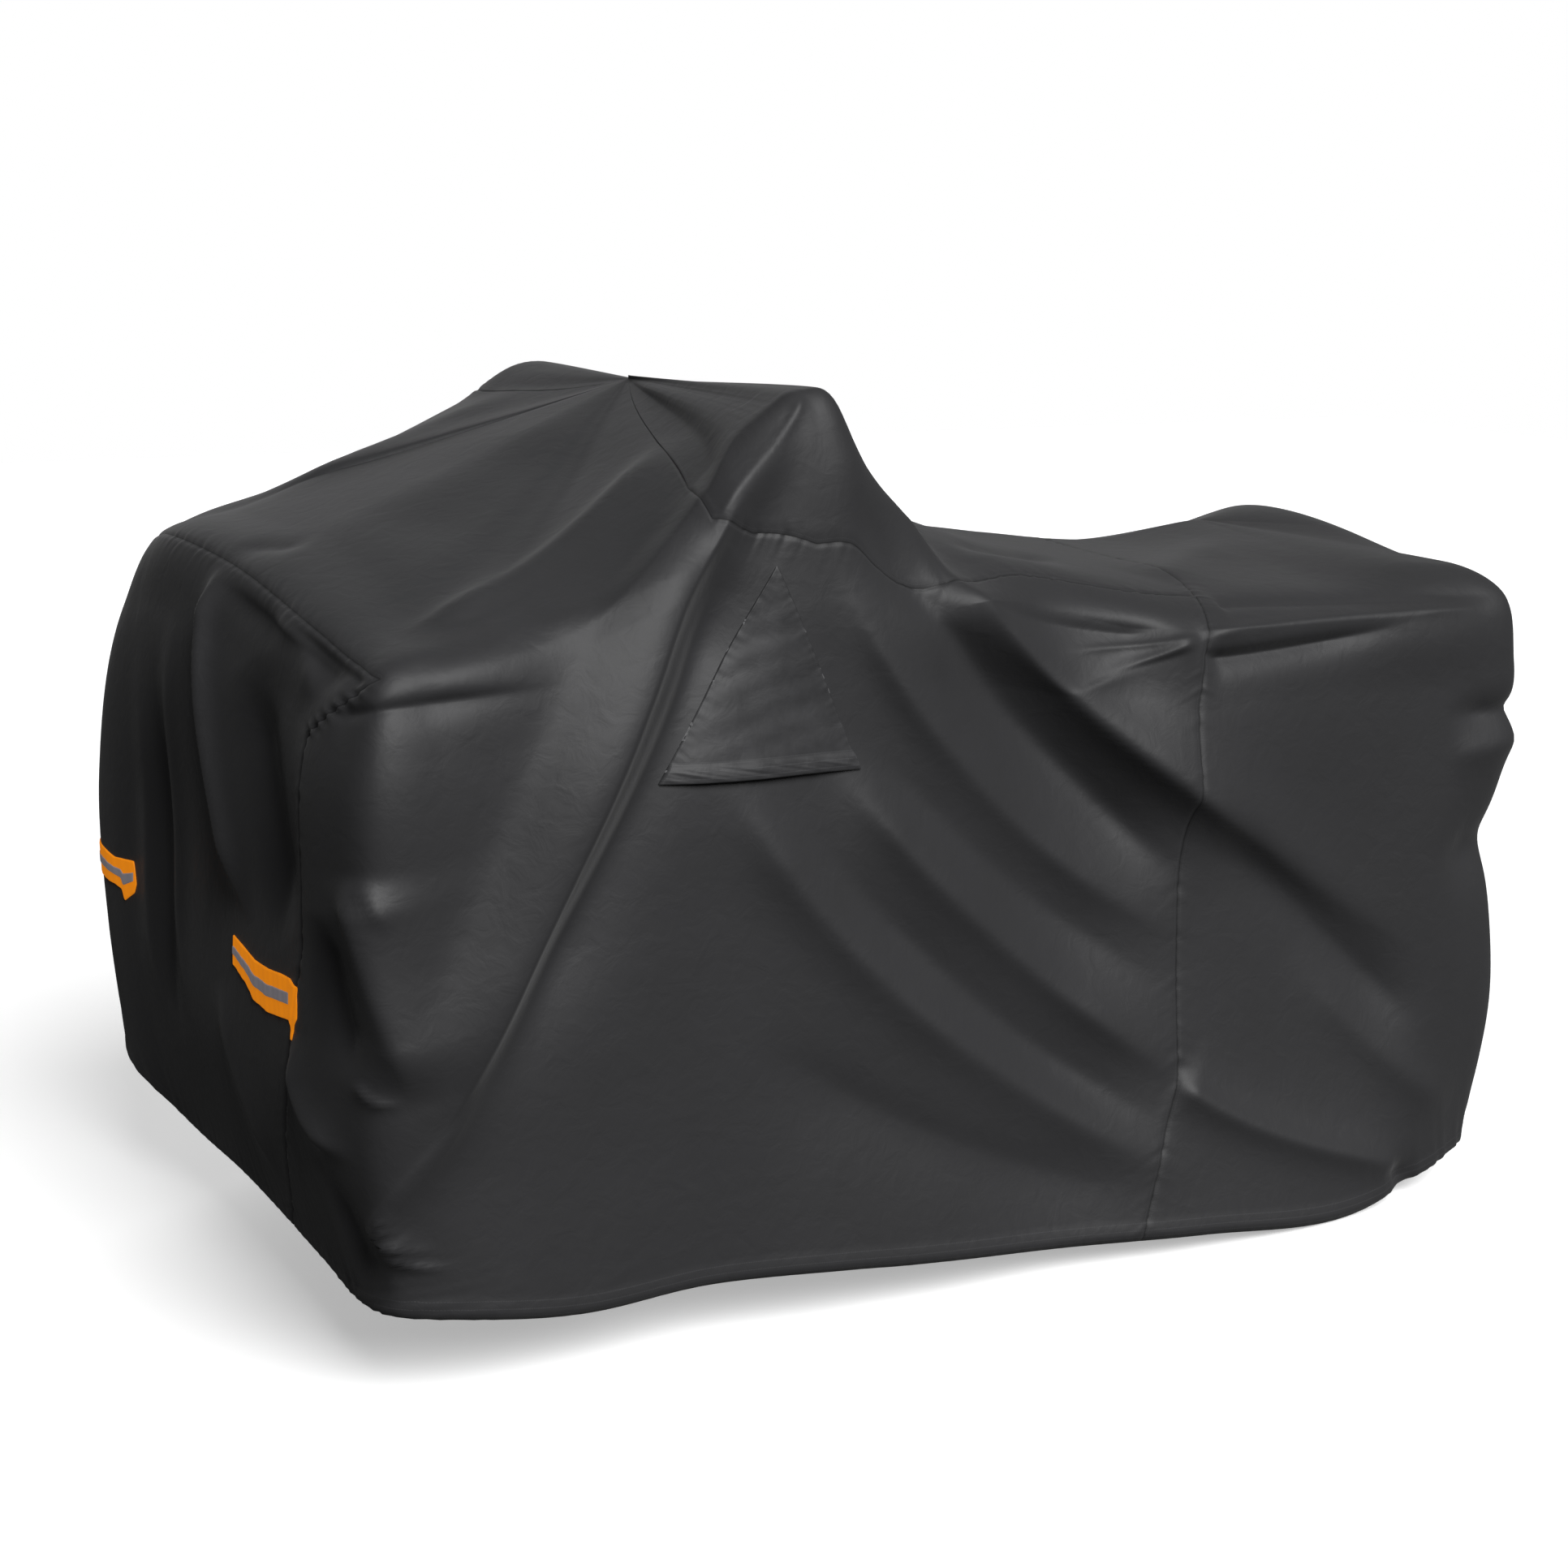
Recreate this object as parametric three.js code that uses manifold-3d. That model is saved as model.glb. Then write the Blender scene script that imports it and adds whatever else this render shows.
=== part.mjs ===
// All-terrain vehicle cover, as it hangs over a vehicle that is left out.
// Millimetres, +X towards the tail, -Y the near side, +Z up.
// The origin is on the ground under the middle of the box.
// The cloth is one surface with two coordinates: s runs round the cover (equal to x along the near side),
// and level climbs from the hem to the spine. Panels are cut out of it along the seams.
import * as THREE from 'three';
import { mergeVertices } from 'three/addons/utils/BufferGeometryUtils.js';
import Module from 'manifold-3d';

const wasm = await Module();
wasm.setup();

// Cloth and seams
const SHEET = 2; // thickness of the coated cloth with its turned edges
const SEAM_SHIFT = 0.25; // each panel stops this far short of the seam line
const BAND_THICK = 1.2; // orange band
const TAPE_THICK = 0.8; // grey tape
const LAY_GAP = 0.4; // one cloth lying on another
const CHEST_DROP = 130; // the chest ring lies this far below the shoulder ring
const KNEE_SHARE = 0.27; // height of the knee ring between hem and shoulder
const BELT_SHARE = 0.55; // height of the belt ring between hem and shoulder

// Spine: the highest line, from between the grips to the tail. It leans to the far side over the handlebar.
const SPINE_COLUMNS = ['x', 'y', 'z'];
const SPINE = {
  front_end: [-350, 110, 1528],
  behind_grips: [-150, 47, 1440],
  seat: [125, 0, 1276],
  behind_seat: [410, 0, 1221],
  rear_rack: [640, 0, 1200],
  rear_end: [900, 0, 1227],
};

// Where the origin lies in the coordinates of the tables
const ORIGIN = { x: -29, y: -12, z: -3.2 };

// Levels of the seven rings
const HEM = 0;
const SHOULDER = 4;
const BROW = 5;
const TOP = 6;

// Sections round the cover. x, y: plan of the shoulder ring.
// faces: way the wall faces (0 front, 90 near side, 180 tail, 270 far side). top: height of the shoulder.
// chest, belt, knee, hem: how far the wall stands out from the shoulder at each ring.
// lift: height of the hem. browX, browY, brow: the ring above the shoulder.
const SECTION_COLUMNS = [
  'x', 'y', 'faces', 'top', 'chest', 'belt', 'knee', 'hem', 'lift', 'browX', 'browY', 'brow',
];
const SECTIONS = {
  front_middle: [-1145, 0, 0, 1245, 40, 55, 55, -5, 155, -1000, 0, 1300],
  front_near: [-1145, -380, 0, 1190, 40, 60, 60, 0, 135, -1000, -330, 1250],
  front_seam: [-1140, -545, 15, 1160, 60, 65, 60, 5, 122, -1010, -470, 1210],
  rack_corner: [-1132, -620, 45, 1148, 50, 45, 40, 12, 136, -985, -520, 1205],
  rack_end: [-1050, -640, 90, 1145, 25, 30, 30, 35, 130, -920, -520, 1215],
  rack_side: [-830, -625, 90, 1165, 30, 35, 40, 55, 98, -730, -470, 1290],
  tent_foot: [-580, -580, 90, 1225, 40, 65, 80, 90, 97, -500, -480, 1420],
  grip: [-350, -595, 90, 1220, 10, 50, 75, 105, 88, -345, -500, 1552],
  grip_rear: [-290, -597, 90, 1210, 7, 48, 75, 107, 83, -290, -500, 1538],
  grip_back: [-235, -598, 90, 1200, 4, 44, 75, 108, 77, -228, -490, 1422],
  tent_rear: [-150, -600, 90, 1180, 0, 40, 75, 110, 70, -140, -480, 1308],
  seat: [120, -545, 90, 1150, 10, 60, 110, 165, 47, 130, -400, 1245],
  rear_seam: [400, -610, 90, 1115, 20, 30, 70, 130, 30, 420, -440, 1185],
  rear_side: [760, -635, 90, 1110, 10, 15, 40, 98, 2, 770, -450, 1175],
  rear_bend: [1050, -645, 100, 1118, 14, 20, 30, 12, 38, 1000, -500, 1198],
  rear_corner: [1136, -624, 135, 1142, 28, 8, 28, -12, 48, 1080, -526, 1194],
  tail_near: [1150, -470, 180, 1152, 15, 4, 8, -40, 62, 1080, -380, 1196],
  tail_middle: [1150, 0, 180, 1215, 10, 20, 25, -20, 60, 1060, 0, 1248],
  tail_far: [1145, 470, 180, 1105, 15, 20, 25, -20, 50, 1060, 330, 1160],
  far_rear_corner: [1132, 622, 225, 1078, 22, 35, 45, 0, 40, 1050, 470, 1122],
  far_rear_bend: [1040, 640, 260, 1070, 10, 20, 35, 40, 8, 980, 460, 1112],
  far_rear_side: [760, 640, 270, 1080, 10, 20, 40, 70, 5, 770, 450, 1118],
  far_rear_seam: [400, 620, 270, 1105, 15, 30, 60, 100, 25, 420, 440, 1188],
  far_seat: [120, 560, 270, 1150, 10, 50, 90, 130, 55, 130, 400, 1230],
  far_tent_rear: [-150, 595, 270, 1180, 5, 40, 70, 100, 80, -140, 480, 1340],
  far_grip_rear: [-290, 598, 270, 1212, 8, 48, 70, 93, 92, -290, 500, 1522],
  far_grip: [-350, 600, 270, 1225, 10, 50, 70, 90, 100, -350, 500, 1536],
  far_tent_foot: [-580, 600, 270, 1265, 20, 50, 65, 80, 125, -520, 500, 1455],
  far_rack_side: [-830, 600, 270, 1245, 30, 50, 55, 60, 150, -760, 490, 1352],
  far_rack_end: [-1030, 565, 275, 1240, 50, 85, 85, 45, 220, -940, 440, 1305],
  far_rack_corner: [-1115, 480, 315, 1235, 70, 133, 124, 97, 250, -985, 400, 1290],
  far_front: [-1145, 360, 0, 1255, 50, 60, 60, 10, 176, -1010, 330, 1295],
};

// Folds of the walls, each along a soft curve through three places (s, z).
// left and right are the reaches of its two flanks, seen on the way from the first place to the third.
// rise is outward, and below zero a trough. crest: small is sharp.
// in, out: share of the length over which it grows from its first end, and dies towards its last.
const FOLD_COLUMNS = ['s0', 'z0', 's1', 'z1', 's2', 'z2', 'left', 'right', 'rise', 'crest', 'in', 'out'];
const WALL_FOLDS = {
  grip_to_front_wheel: [-372, 1498, -735, 1065, -1205, 190, 36, 120, 56, 0.45, 0.25, 0.25],
  trough_beside_it: [-520, 1300, -690, 960, -1030, 440, 80, 42, -34, 0.5, 0.25, 0.25],
  grip_to_rear_wheel: [-300, 1500, 180, 1005, 1020, 440, 95, 44, 54, 0.35, 0.3, 0.4],
  trough_under_it: [-320, 1430, 40, 1020, 430, 640, 45, 65, -34, 0.6, 0.25, 0.25],
  side_ridge_upper: [-330, 1300, -60, 890, 430, 555, 72, 40, 28, 0.45, 0.3, 0.3],
  side_trough: [-290, 1000, -10, 735, 400, 460, 40, 55, -14, 0.6, 0.3, 0.3],
  side_ridge_middle: [-345, 960, -50, 635, 430, 290, 72, 44, 31, 0.45, 0.25, 0.25],
  side_trough_lower: [-470, 920, -70, 520, 390, 210, 42, 55, -20, 0.6, 0.4, 0.3],
  side_ridge_lower: [-560, 970, -190, 510, 430, 115, 62, 52, 28, 0.45, 0.2, 0.25],
  flat_below_it: [-520, 520, -150, 285, 330, 100, 45, 85, -16, 0.7, 0.3, 0.3],
  under_seat_seam: [-100, 1200, 160, 1135, 400, 1120, 26, 70, -26, 0.6, 0.25, 0.25],
  seat_tuck: [150, 1015, 298, 1063, 435, 1106, 14, 24, 15, 0.35, 0.35, 0.2],
  under_rear_rack: [425, 1070, 625, 1080, 930, 1112, 12, 40, -22, 0.35, 0.15, 0.4],
  rear_rack_edge: [425, 1106, 700, 1122, 1120, 1124, 22, 14, 13, 0.45, 0.15, 0.2],
  above_rear_rack: [490, 1150, 760, 1162, 1150, 1144, 24, 12, -18, 0.5, 0.2, 0.2],
  rear_low_ridge: [360, 318, 600, 178, 1000, 45, 45, 40, 24, 0.3, 0.12, 0.25],
  rear_soft_hollow: [420, 815, 720, 550, 960, 320, 45, 75, -22, 0.6, 0.2, 0.3],
  rear_soft_ridge: [640, 520, 850, 300, 1070, 150, 55, 50, 14, 0.5, 0.35, 0.25],
  hem_pit: [860, 90, 925, 45, 990, 0, 30, 30, -26, 0.6, 0.5, 0.5],
  corner_hollow_high: [980, 930, 1110, 925, 1260, 925, 25, 25, -22, 0.6, 0.4, 0.4],
  corner_ridge: [980, 850, 1110, 862, 1260, 880, 30, 40, 14, 0.6, 0.4, 0.4],
  corner_hollow_low: [960, 650, 1110, 665, 1280, 700, 60, 60, -26, 0.7, 0.4, 0.4],
  under_front_rack: [-1235, 1080, -1090, 1110, -820, 1116, 12, 34, -14, 0.5, 0.2, 0.45],
  hood_lip: [-1215, 1128, -1505, 1172, -1800, 1215, 34, 18, -12, 0.5, 0.12, 0.3],
  front_band: [-1790, 1245, -1695, 950, -1540, 675, 34, 34, 34, 0.35, 0.15, 0.25],
  front_hollow: [-1600, 1110, -1490, 900, -1370, 680, 80, 50, -36, 0.7, 0.3, 0.3],
  corner_wing: [-1560, 1180, -1400, 1158, -1300, 1085, 26, 40, 14, 0.4, 0.3, 0.3],
  front_low_ridge: [-1700, 560, -1620, 380, -1500, 240, 50, 50, 14, 0.6, 0.3, 0.3],
  far_front_ridge: [-1930, 1180, -1940, 800, -1920, 400, 40, 40, 12, 0.5, 0.3, 0.3],
  far_front_hollow: [-2010, 1100, -2010, 700, -1990, 350, 30, 30, -12, 0.5, 0.3, 0.3],
  far_corner_ridge: [-2080, 1100, -2080, 700, -2060, 350, 40, 40, 14, 0.5, 0.3, 0.3],
  tyre_tread: [-1168, 860, -1140, 690, -1100, 495, 64, 26, 34, 0.25, 0.2, 0.25],
  tyre_side: [-1230, 780, -1205, 660, -1160, 530, 34, 34, -24, 0.5, 0.3, 0.3],
  tyre_foot: [-1335, 560, -1270, 452, -1165, 405, 36, 28, 24, 0.35, 0.3, 0.3],
  corner_foot: [-1260, 400, -1200, 260, -1130, 135, 34, 34, -14, 0.5, 0.4, 0.4],
};

// Folds of the far side, in x and z
const FAR_FOLDS = {
  far_to_front_wheel: [-372, 1505, -680, 1065, -1120, 300, 60, 90, 38, 0.4, 0.4, 0.25],
  far_trough: [-520, 1230, -700, 900, -980, 480, 60, 50, -24, 0.6, 0.25, 0.25],
  far_to_rear_wheel: [-292, 1520, 80, 1135, 900, 520, 95, 60, 40, 0.4, 0.4, 0.3],
  far_trough_under: [-290, 1440, -60, 1090, 360, 690, 60, 75, -34, 0.7, 0.25, 0.25],
  far_ridge_upper: [-300, 1120, -60, 820, 420, 380, 50, 55, 24, 0.5, 0.25, 0.25],
  far_ridge_lower: [-560, 900, -340, 600, 260, 170, 50, 70, 20, 0.5, 0.2, 0.2],
  far_under_seat: [-100, 1200, 160, 1135, 420, 1120, 26, 70, -20, 0.6, 0.25, 0.25],
  far_under_rack: [430, 1085, 640, 1100, 980, 1095, 14, 34, -16, 0.5, 0.35, 0.35],
  far_low_ridge: [420, 330, 640, 200, 960, 90, 45, 50, 18, 0.5, 0.25, 0.25],
};

// Folds of the crown, in x and y
const CROWN_FOLDS = {
  hood_ridge: [-450, -250, -735, -408, -1080, -520, 70, 34, 18, 0.35, 0.25, 0.2],
  hood_edge: [-560, -545, -720, -578, -900, -605, 40, 34, 12, 0.5, 0.3, 0.3],
  hood_front_hollow: [-1125, 60, -1083, -24, -1035, -95, 34, 34, -9, 0.6, 0.4, 0.4],
  hood_hollow: [-520, 20, -760, -140, -980, -200, 120, 120, -12, 0.8, 0.3, 0.3],
  hood_far_ridge: [-420, 330, -700, 360, -1000, 330, 60, 70, 12, 0.6, 0.3, 0.3],
  seat_hollow: [30, -380, 180, -340, 340, -300, 40, 40, -12, 0.6, 0.3, 0.3],
  tail_ridge: [450, -430, 620, -300, 860, -120, 70, 70, 12, 0.7, 0.3, 0.3],
};
const FAR_MIRROR = 3537; // s of a place on the far side is this less its x
const FRONT_CUT = 4334; // past here s is counted from the front again, so that front folds run through
const FLANK_FALL = 1.6; // how fast a flank falls away
const FOLD_STEPS = 40;

// Wall folds act in full where the normal's rise is under the first of these, and not over the second
const WALL_TILT = 0.6;
const CROWN_TILT = 0.93;

// Seams that cross the levels, and the fold from grip to front wheel: s at each ring from hem to spine
const SEAM_LINES = {
  front_near: [-1540, -1390, -1297, -1290, -1146, -1146, -1146],
  front_fold: [-1250, -1098, -930, -716, -630, -500, -430],
  rear_near: [275, 376, 390, 418, 448, 500, 520],
  rear_far: [3262, 3161, 3147, 3119, 3089, 3037, 3017],
  front_far: [4700, 4640, 4630, 4640, 4680, 4680, 4680],
};

// The long seam between body and top panel: its level at places s, near side then far side
const TOP_SEAM = [
  { s: -720, level: 6 },
  { s: -664, level: 5.33 },
  { s: -576, level: 4.47 },
  { s: -480, level: 4.31 },
  { s: -360, level: 4.22 },
  { s: -200, level: 4.27 },
  { s: -72, level: 4.45 },
  { s: 200, level: 4.58 },
  { s: 448, level: 4.63 },
  { s: 3089, level: 4.63 },
  { s: 3600, level: 4.45 },
  { s: 3887, level: 4.4 },
  { s: 3990, level: 4.6 },
  { s: 4144, level: 5.46 },
  { s: 4240, level: 6 },
];

// Mesh lines between key places round the cover, as many on the far side of the spine as on the near side,
// and mesh rows between key rings
const LINE_RUNS = [
  { from: 'front_near', to: 'front_fold', cells: 13 },
  { from: 'front_fold', to: 'grip', cells: 10 },
  { from: 'grip', to: 'rear_near', cells: 19 },
  { from: 'rear_near', to: 'spine_end', cells: 8 },
  { from: 'spine_end', to: 'tail', cells: 12 },
  { from: 'tail', to: 'far_spine_end', cells: 10 },
  { from: 'far_spine_end', to: 'rear_far', cells: 8 },
  { from: 'rear_far', to: 'far_grip', cells: 19 },
  { from: 'far_grip', to: 'front_far', cells: 11 },
  { from: 'front_far', to: 'front_near', cells: 16 },
];
const ROW_RUNS = [
  { from: 0, to: 1, cells: 4 },
  { from: 1, to: 2, cells: 5 },
  { from: 2, to: 3, cells: 7 },
  { from: 3, to: 4, cells: 4 },
];
// Rows from the shoulder to the top seam, and from there to the spine
const CROWN_ROWS = { toSeam: 7, aboveSeam: 5, toBrow: 2 };
const HALVINGS = 30;
const SEAM_MEETS_SPINE = 0.05; // closer than this the seam has reached the spine
const LOW_SEAM = 4.63; // the top seam is no higher than this except where it climbs to the spine

const mix = (a, b, t) => a + (b - a) * t;
const clamp = (v, low, high) => Math.min(high, Math.max(low, v));
const smooth = (t) => t * t * (3 - 2 * t);
const radians = (degrees) => (degrees * Math.PI) / 180;
const named = (columns, values) => Object.fromEntries(columns.map((name, i) => [name, values[i]]));

// A cubic through values at knots, its slope at each knot weighted by the two spans beside it
const cubicBetween = (a, b, slopeA, slopeB, span, t) => {
  const t2 = t * t;
  const t3 = t2 * t;
  return (2 * t3 - 3 * t2 + 1) * a + (t3 - 2 * t2 + t) * span * slopeA
    + (3 * t2 - 2 * t3) * b + (t3 - t2) * span * slopeB;
};
const knotSlope = (before, here, after, spanBefore, spanAfter) => {
  const slopeBefore = (here - before) / spanBefore;
  const slopeAfter = (after - here) / spanAfter;
  return (slopeBefore * spanAfter + slopeAfter * spanBefore) / (spanBefore + spanAfter);
};

// The ring of sections, its knots spaced by plan distance and counted so that s equals x at the grip
const sections = Object.entries(SECTIONS).map(([name, row]) => {
  const section = { name, ...named(SECTION_COLUMNS, row) };
  section.outX = -Math.cos(radians(section.faces));
  section.outY = -Math.sin(radians(section.faces));
  return section;
});
const COUNT = sections.length;
const spans = sections.map((here, i) => {
  const next = sections[(i + 1) % COUNT];
  return Math.hypot(next.x - here.x, next.y - here.y);
});
const gripIndex = sections.findIndex((section) => section.name === 'grip');
const beforeGrip = spans.slice(0, gripIndex).reduce((sum, span) => sum + span, 0);
const RING_START = sections[gripIndex].x - beforeGrip;
const RING = spans.reduce((sum, span) => sum + span, 0);

// The spine at a distance x, level beyond its ends
const spineRows = Object.values(SPINE).map((row) => named(SPINE_COLUMNS, row));
const SPINE_FRONT = spineRows[0].x;
const SPINE_REAR = spineRows[spineRows.length - 1].x;
const spinePoint = (wanted) => {
  const x = clamp(wanted, SPINE_FRONT, SPINE_REAR);
  const last = spineRows.length - 1;
  const i = clamp(spineRows.findIndex((row) => row.x > x) - 1, 0, last - 1);
  const k = x >= SPINE_REAR ? last - 1 : i;
  const slope = (j, column) => {
    if (j === 0 || j === last) return 0;
    const [a, b, c] = [spineRows[j - 1], spineRows[j], spineRows[j + 1]];
    return knotSlope(a[column], b[column], c[column], b.x - a.x, c.x - b.x);
  };
  const span = spineRows[k + 1].x - spineRows[k].x;
  const along = (column) => cubicBetween(
    spineRows[k][column],
    spineRows[k + 1][column],
    slope(k, column),
    slope(k + 1, column),
    span,
    (x - spineRows[k].x) / span,
  );
  return new THREE.Vector3(x, along('y'), along('z'));
};

const ringColumn = (column) => (s) => {
  let along = (((s - RING_START) % RING) + RING) % RING;
  let i = 0;
  while (along >= spans[i] && i < COUNT - 1) {
    along -= spans[i];
    i += 1;
  }
  const at = (k) => sections[(k + COUNT) % COUNT][column];
  const span = (k) => spans[(k + COUNT) % COUNT];
  const slope = (k) => {
    const turns = column === 'brow' && (at(k) - at(k - 1)) * (at(k + 1) - at(k)) < 0;
    return turns ? 0 : knotSlope(at(k - 1), at(k), at(k + 1), span(k - 1), span(k));
  };
  const slopeA = slope(i);
  const slopeB = slope(i + 1);
  return cubicBetween(at(i), at(i + 1), slopeA, slopeB, span(i), along / span(i));
};
const ring = Object.fromEntries(
  [...SECTION_COLUMNS.filter((column) => column !== 'faces'), 'outX', 'outY']
    .map((column) => [column, ringColumn(column)]),
);

// The seven ring points of the section at s, hem first
const ringPoints = (s) => {
  const v = Object.fromEntries(Object.entries(ring).map(([column, value]) => [column, value(s)]));
  const reach = Math.hypot(v.outX, v.outY);
  const out = (distance, z) => new THREE.Vector3(
    v.x + (distance * v.outX) / reach,
    v.y + (distance * v.outY) / reach,
    z,
  );
  const height = v.top - v.lift;
  return [
    out(v.hem, v.lift),
    out(v.knee, v.lift + KNEE_SHARE * height),
    out(v.belt, v.lift + BELT_SHARE * height),
    out(v.chest, v.top - CHEST_DROP),
    out(0, v.top),
    new THREE.Vector3(v.browX, v.browY, v.brow),
    spinePoint(v.x),
  ];
};

// Slope of the height at the brow ring: level where the cloth turns over an edge, so that it never bulges
// above it
const edgeSlope = (points, length) => {
  const before = (points[BROW].z - points[SHOULDER].z) / length(SHOULDER);
  const after = (points[TOP].z - points[BROW].z) / length(BROW);
  return before * after > 0 ? (2 * before * after) / (before + after) : 0;
};

// The smooth cloth before its folds: a cubic through the ring points
const clothBase = (s, level) => {
  const points = ringPoints(s);
  const length = (k) => Math.max(points[k].distanceTo(points[k + 1]), 1e-3);
  const i = clamp(Math.floor(level), 0, TOP - 1);
  const slope = (k, axis) => {
    if (k === 0) return (points[1][axis] - points[0][axis]) / length(0);
    if (k === TOP) return (points[TOP][axis] - points[TOP - 1][axis]) / length(TOP - 1);
    if (axis === 'z' && k === BROW) return edgeSlope(points, length);
    return knotSlope(points[k - 1][axis], points[k][axis], points[k + 1][axis], length(k - 1), length(k));
  };
  const along = (axis) => cubicBetween(
    points[i][axis],
    points[i + 1][axis],
    slope(i, axis),
    slope(i + 1, axis),
    length(i),
    level - i,
  );
  return new THREE.Vector3(along('x'), along('y'), along('z'));
};

// Outward normal of the smooth cloth
const baseNormal = (s, level) => {
  const stepS = 6;
  const stepLevel = 0.03;
  const above = clothBase(s, Math.min(level + stepLevel, TOP));
  const up = above.sub(clothBase(s, Math.max(level - stepLevel, HEM)));
  const round = clothBase(s + stepS, level).sub(clothBase(s - stepS, level));
  const normal = round.cross(up);
  return normal.length() > 1e-6 ? normal.normalize() : new THREE.Vector3(0, 0, 1);
};

// One fold as a function of two coordinates
const makeFold = (row) => {
  const fold = named(FOLD_COLUMNS, row);
  const handle = {
    u: 2 * fold.s1 - (fold.s0 + fold.s2) / 2,
    v: 2 * fold.z1 - (fold.z0 + fold.z2) / 2,
  };
  const path = Array.from({ length: FOLD_STEPS + 1 }, (_, k) => {
    const t = k / FOLD_STEPS;
    const a = (1 - t) * (1 - t);
    const b = 2 * t * (1 - t);
    const c = t * t;
    return { u: a * fold.s0 + b * handle.u + c * fold.s2, v: a * fold.z0 + b * handle.v + c * fold.z2 };
  });
  return (u, v) => {
    let best = Infinity;
    let side = 0;
    let share = 0;
    for (let k = 0; k < FOLD_STEPS; k += 1) {
      const du = path[k + 1].u - path[k].u;
      const dv = path[k + 1].v - path[k].v;
      const pu = u - path[k].u;
      const pv = v - path[k].v;
      const t = clamp((pu * du + pv * dv) / (du * du + dv * dv), 0, 1);
      const distance = Math.hypot(pu - t * du, pv - t * dv);
      if (distance < best) {
        best = distance;
        side = du * pv - dv * pu;
        share = (k + t) / FOLD_STEPS;
      }
    }
    const away = best / (side > 0 ? fold.left : fold.right);
    const flank = Math.exp(-FLANK_FALL * (Math.hypot(away, fold.crest) - fold.crest));
    const end = smooth(clamp(Math.min(share / fold.in, (1 - share) / fold.out), 0, 1));
    return fold.rise * flank * end;
  };
};
const mirrored = ([x0, z0, x1, z1, x2, z2, left, right, ...rest]) => [
  FAR_MIRROR - x0, z0, FAR_MIRROR - x1, z1, FAR_MIRROR - x2, z2, right, left, ...rest,
];
const wallFolds = Object.values(WALL_FOLDS).map(makeFold);
const farFolds = Object.values(FAR_FOLDS).map((row) => makeFold(mirrored(row)));
const crownFolds = Object.values(CROWN_FOLDS).map(makeFold);

// The draped cloth: the smooth surface moved out or in by its folds
const clothPoint = (s, level) => {
  const base = clothBase(s, level);
  const normal = baseNormal(s, level);
  const wallShare = clamp((CROWN_TILT - normal.z) / (CROWN_TILT - WALL_TILT), 0, 1);
  const crownShare = clamp((level - SHOULDER + 0.4) / 0.6, 0, 1);
  const around = (((s - RING_START) % RING) + RING) % RING + RING_START;
  const wallS = around > FRONT_CUT ? around - RING : around;
  const total = (folds, u, v) => folds.reduce((sum, fold) => sum + fold(u, v), 0);
  const depth = wallShare * (total(wallFolds, wallS, base.z) + total(farFolds, around, base.z))
    + crownShare * total(crownFolds, base.x, base.y);
  return base.addScaledVector(normal, depth);
};

// Mesh lines: each holds its s at every ring, so that seams lie on lines
const keyLines = {
  ...SEAM_LINES,
  grip: Array(TOP + 1).fill(SPINE_FRONT),
  spine_end: Array(TOP + 1).fill(SPINE_REAR),
  tail: Array(TOP + 1).fill(FAR_MIRROR / 2),
  far_spine_end: Array(TOP + 1).fill(FAR_MIRROR - SPINE_REAR),
  far_grip: Array(TOP + 1).fill(FAR_MIRROR - SPINE_FRONT),
};
const lines = [];
const lineAt = {};
LINE_RUNS.forEach(({ from, to, cells }) => {
  lineAt[from] = lines.length;
  const start = keyLines[from];
  const end = keyLines[to].map((s, k) => (s < start[k] ? s + RING : s));
  for (let k = 0; k < cells; k += 1) lines.push(start.map((s, level) => mix(s, end[level], k / cells)));
});
const LINES = lines.length;
const placeOn = (line, level) => {
  const k = Math.min(Math.floor(level), TOP - 1);
  return mix(line[k], line[k + 1], level - k);
};

const seamLevelAt = (s) => {
  const rows = TOP_SEAM;
  if (s <= rows[0].s || s >= rows[rows.length - 1].s) return TOP;
  const next = rows.findIndex((row) => row.s > s);
  const a = rows[next - 1];
  const b = rows[next];
  return mix(a.level, b.level, (s - a.s) / (b.s - a.s));
};

// Level at which a line meets the top seam
const topSeamLevel = (line) => {
  let [low, high] = [SHOULDER, TOP];
  for (let k = 0; k < HALVINGS; k += 1) {
    const level = (low + high) / 2;
    if (level < seamLevelAt(placeOn(line, level))) low = level;
    else high = level;
  }
  return TOP - high < SEAM_MEETS_SPINE ? TOP : high;
};

// Levels from one level to another: the first rows climb to the given share of the way, the rest are even
const crownLevels = (from, to, cells, firstCells, share) => Array.from({ length: cells }, (_, k) => {
  const way = k < firstCells
    ? (share * k) / firstCells
    : mix(share, 1, (k - firstCells) / (cells - firstCells));
  return mix(from, to, way);
});

// Levels of the mesh rows on a line
const rowLevels = (line) => {
  const levels = [];
  ROW_RUNS.forEach(({ from, to, cells }) => {
    for (let k = 0; k < cells; k += 1) levels.push(mix(from, to, k / cells));
  });
  const seam = topSeamLevel(line);
  const { toSeam, aboveSeam, toBrow } = CROWN_ROWS;
  const open = clamp((seam - LOW_SEAM) / (TOP - LOW_SEAM), 0, 1);
  const browBelow = mix(toBrow / toSeam, (BROW - SHOULDER) / (TOP - SHOULDER), open);
  const browAbove = (BROW - Math.min(seam, LOW_SEAM)) / (TOP - Math.min(seam, LOW_SEAM));
  levels.push(...crownLevels(SHOULDER, seam, toSeam, toBrow, browBelow));
  levels.push(...crownLevels(seam, TOP, aboveSeam, toBrow, browAbove), TOP);
  return levels;
};
const SHOULDER_ROW = ROW_RUNS.reduce((sum, run) => sum + run.cells, 0);
const SEAM_ROW = SHOULDER_ROW + CROWN_ROWS.toSeam;
const TOP_ROW = SEAM_ROW + CROWN_ROWS.aboveSeam;

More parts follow.
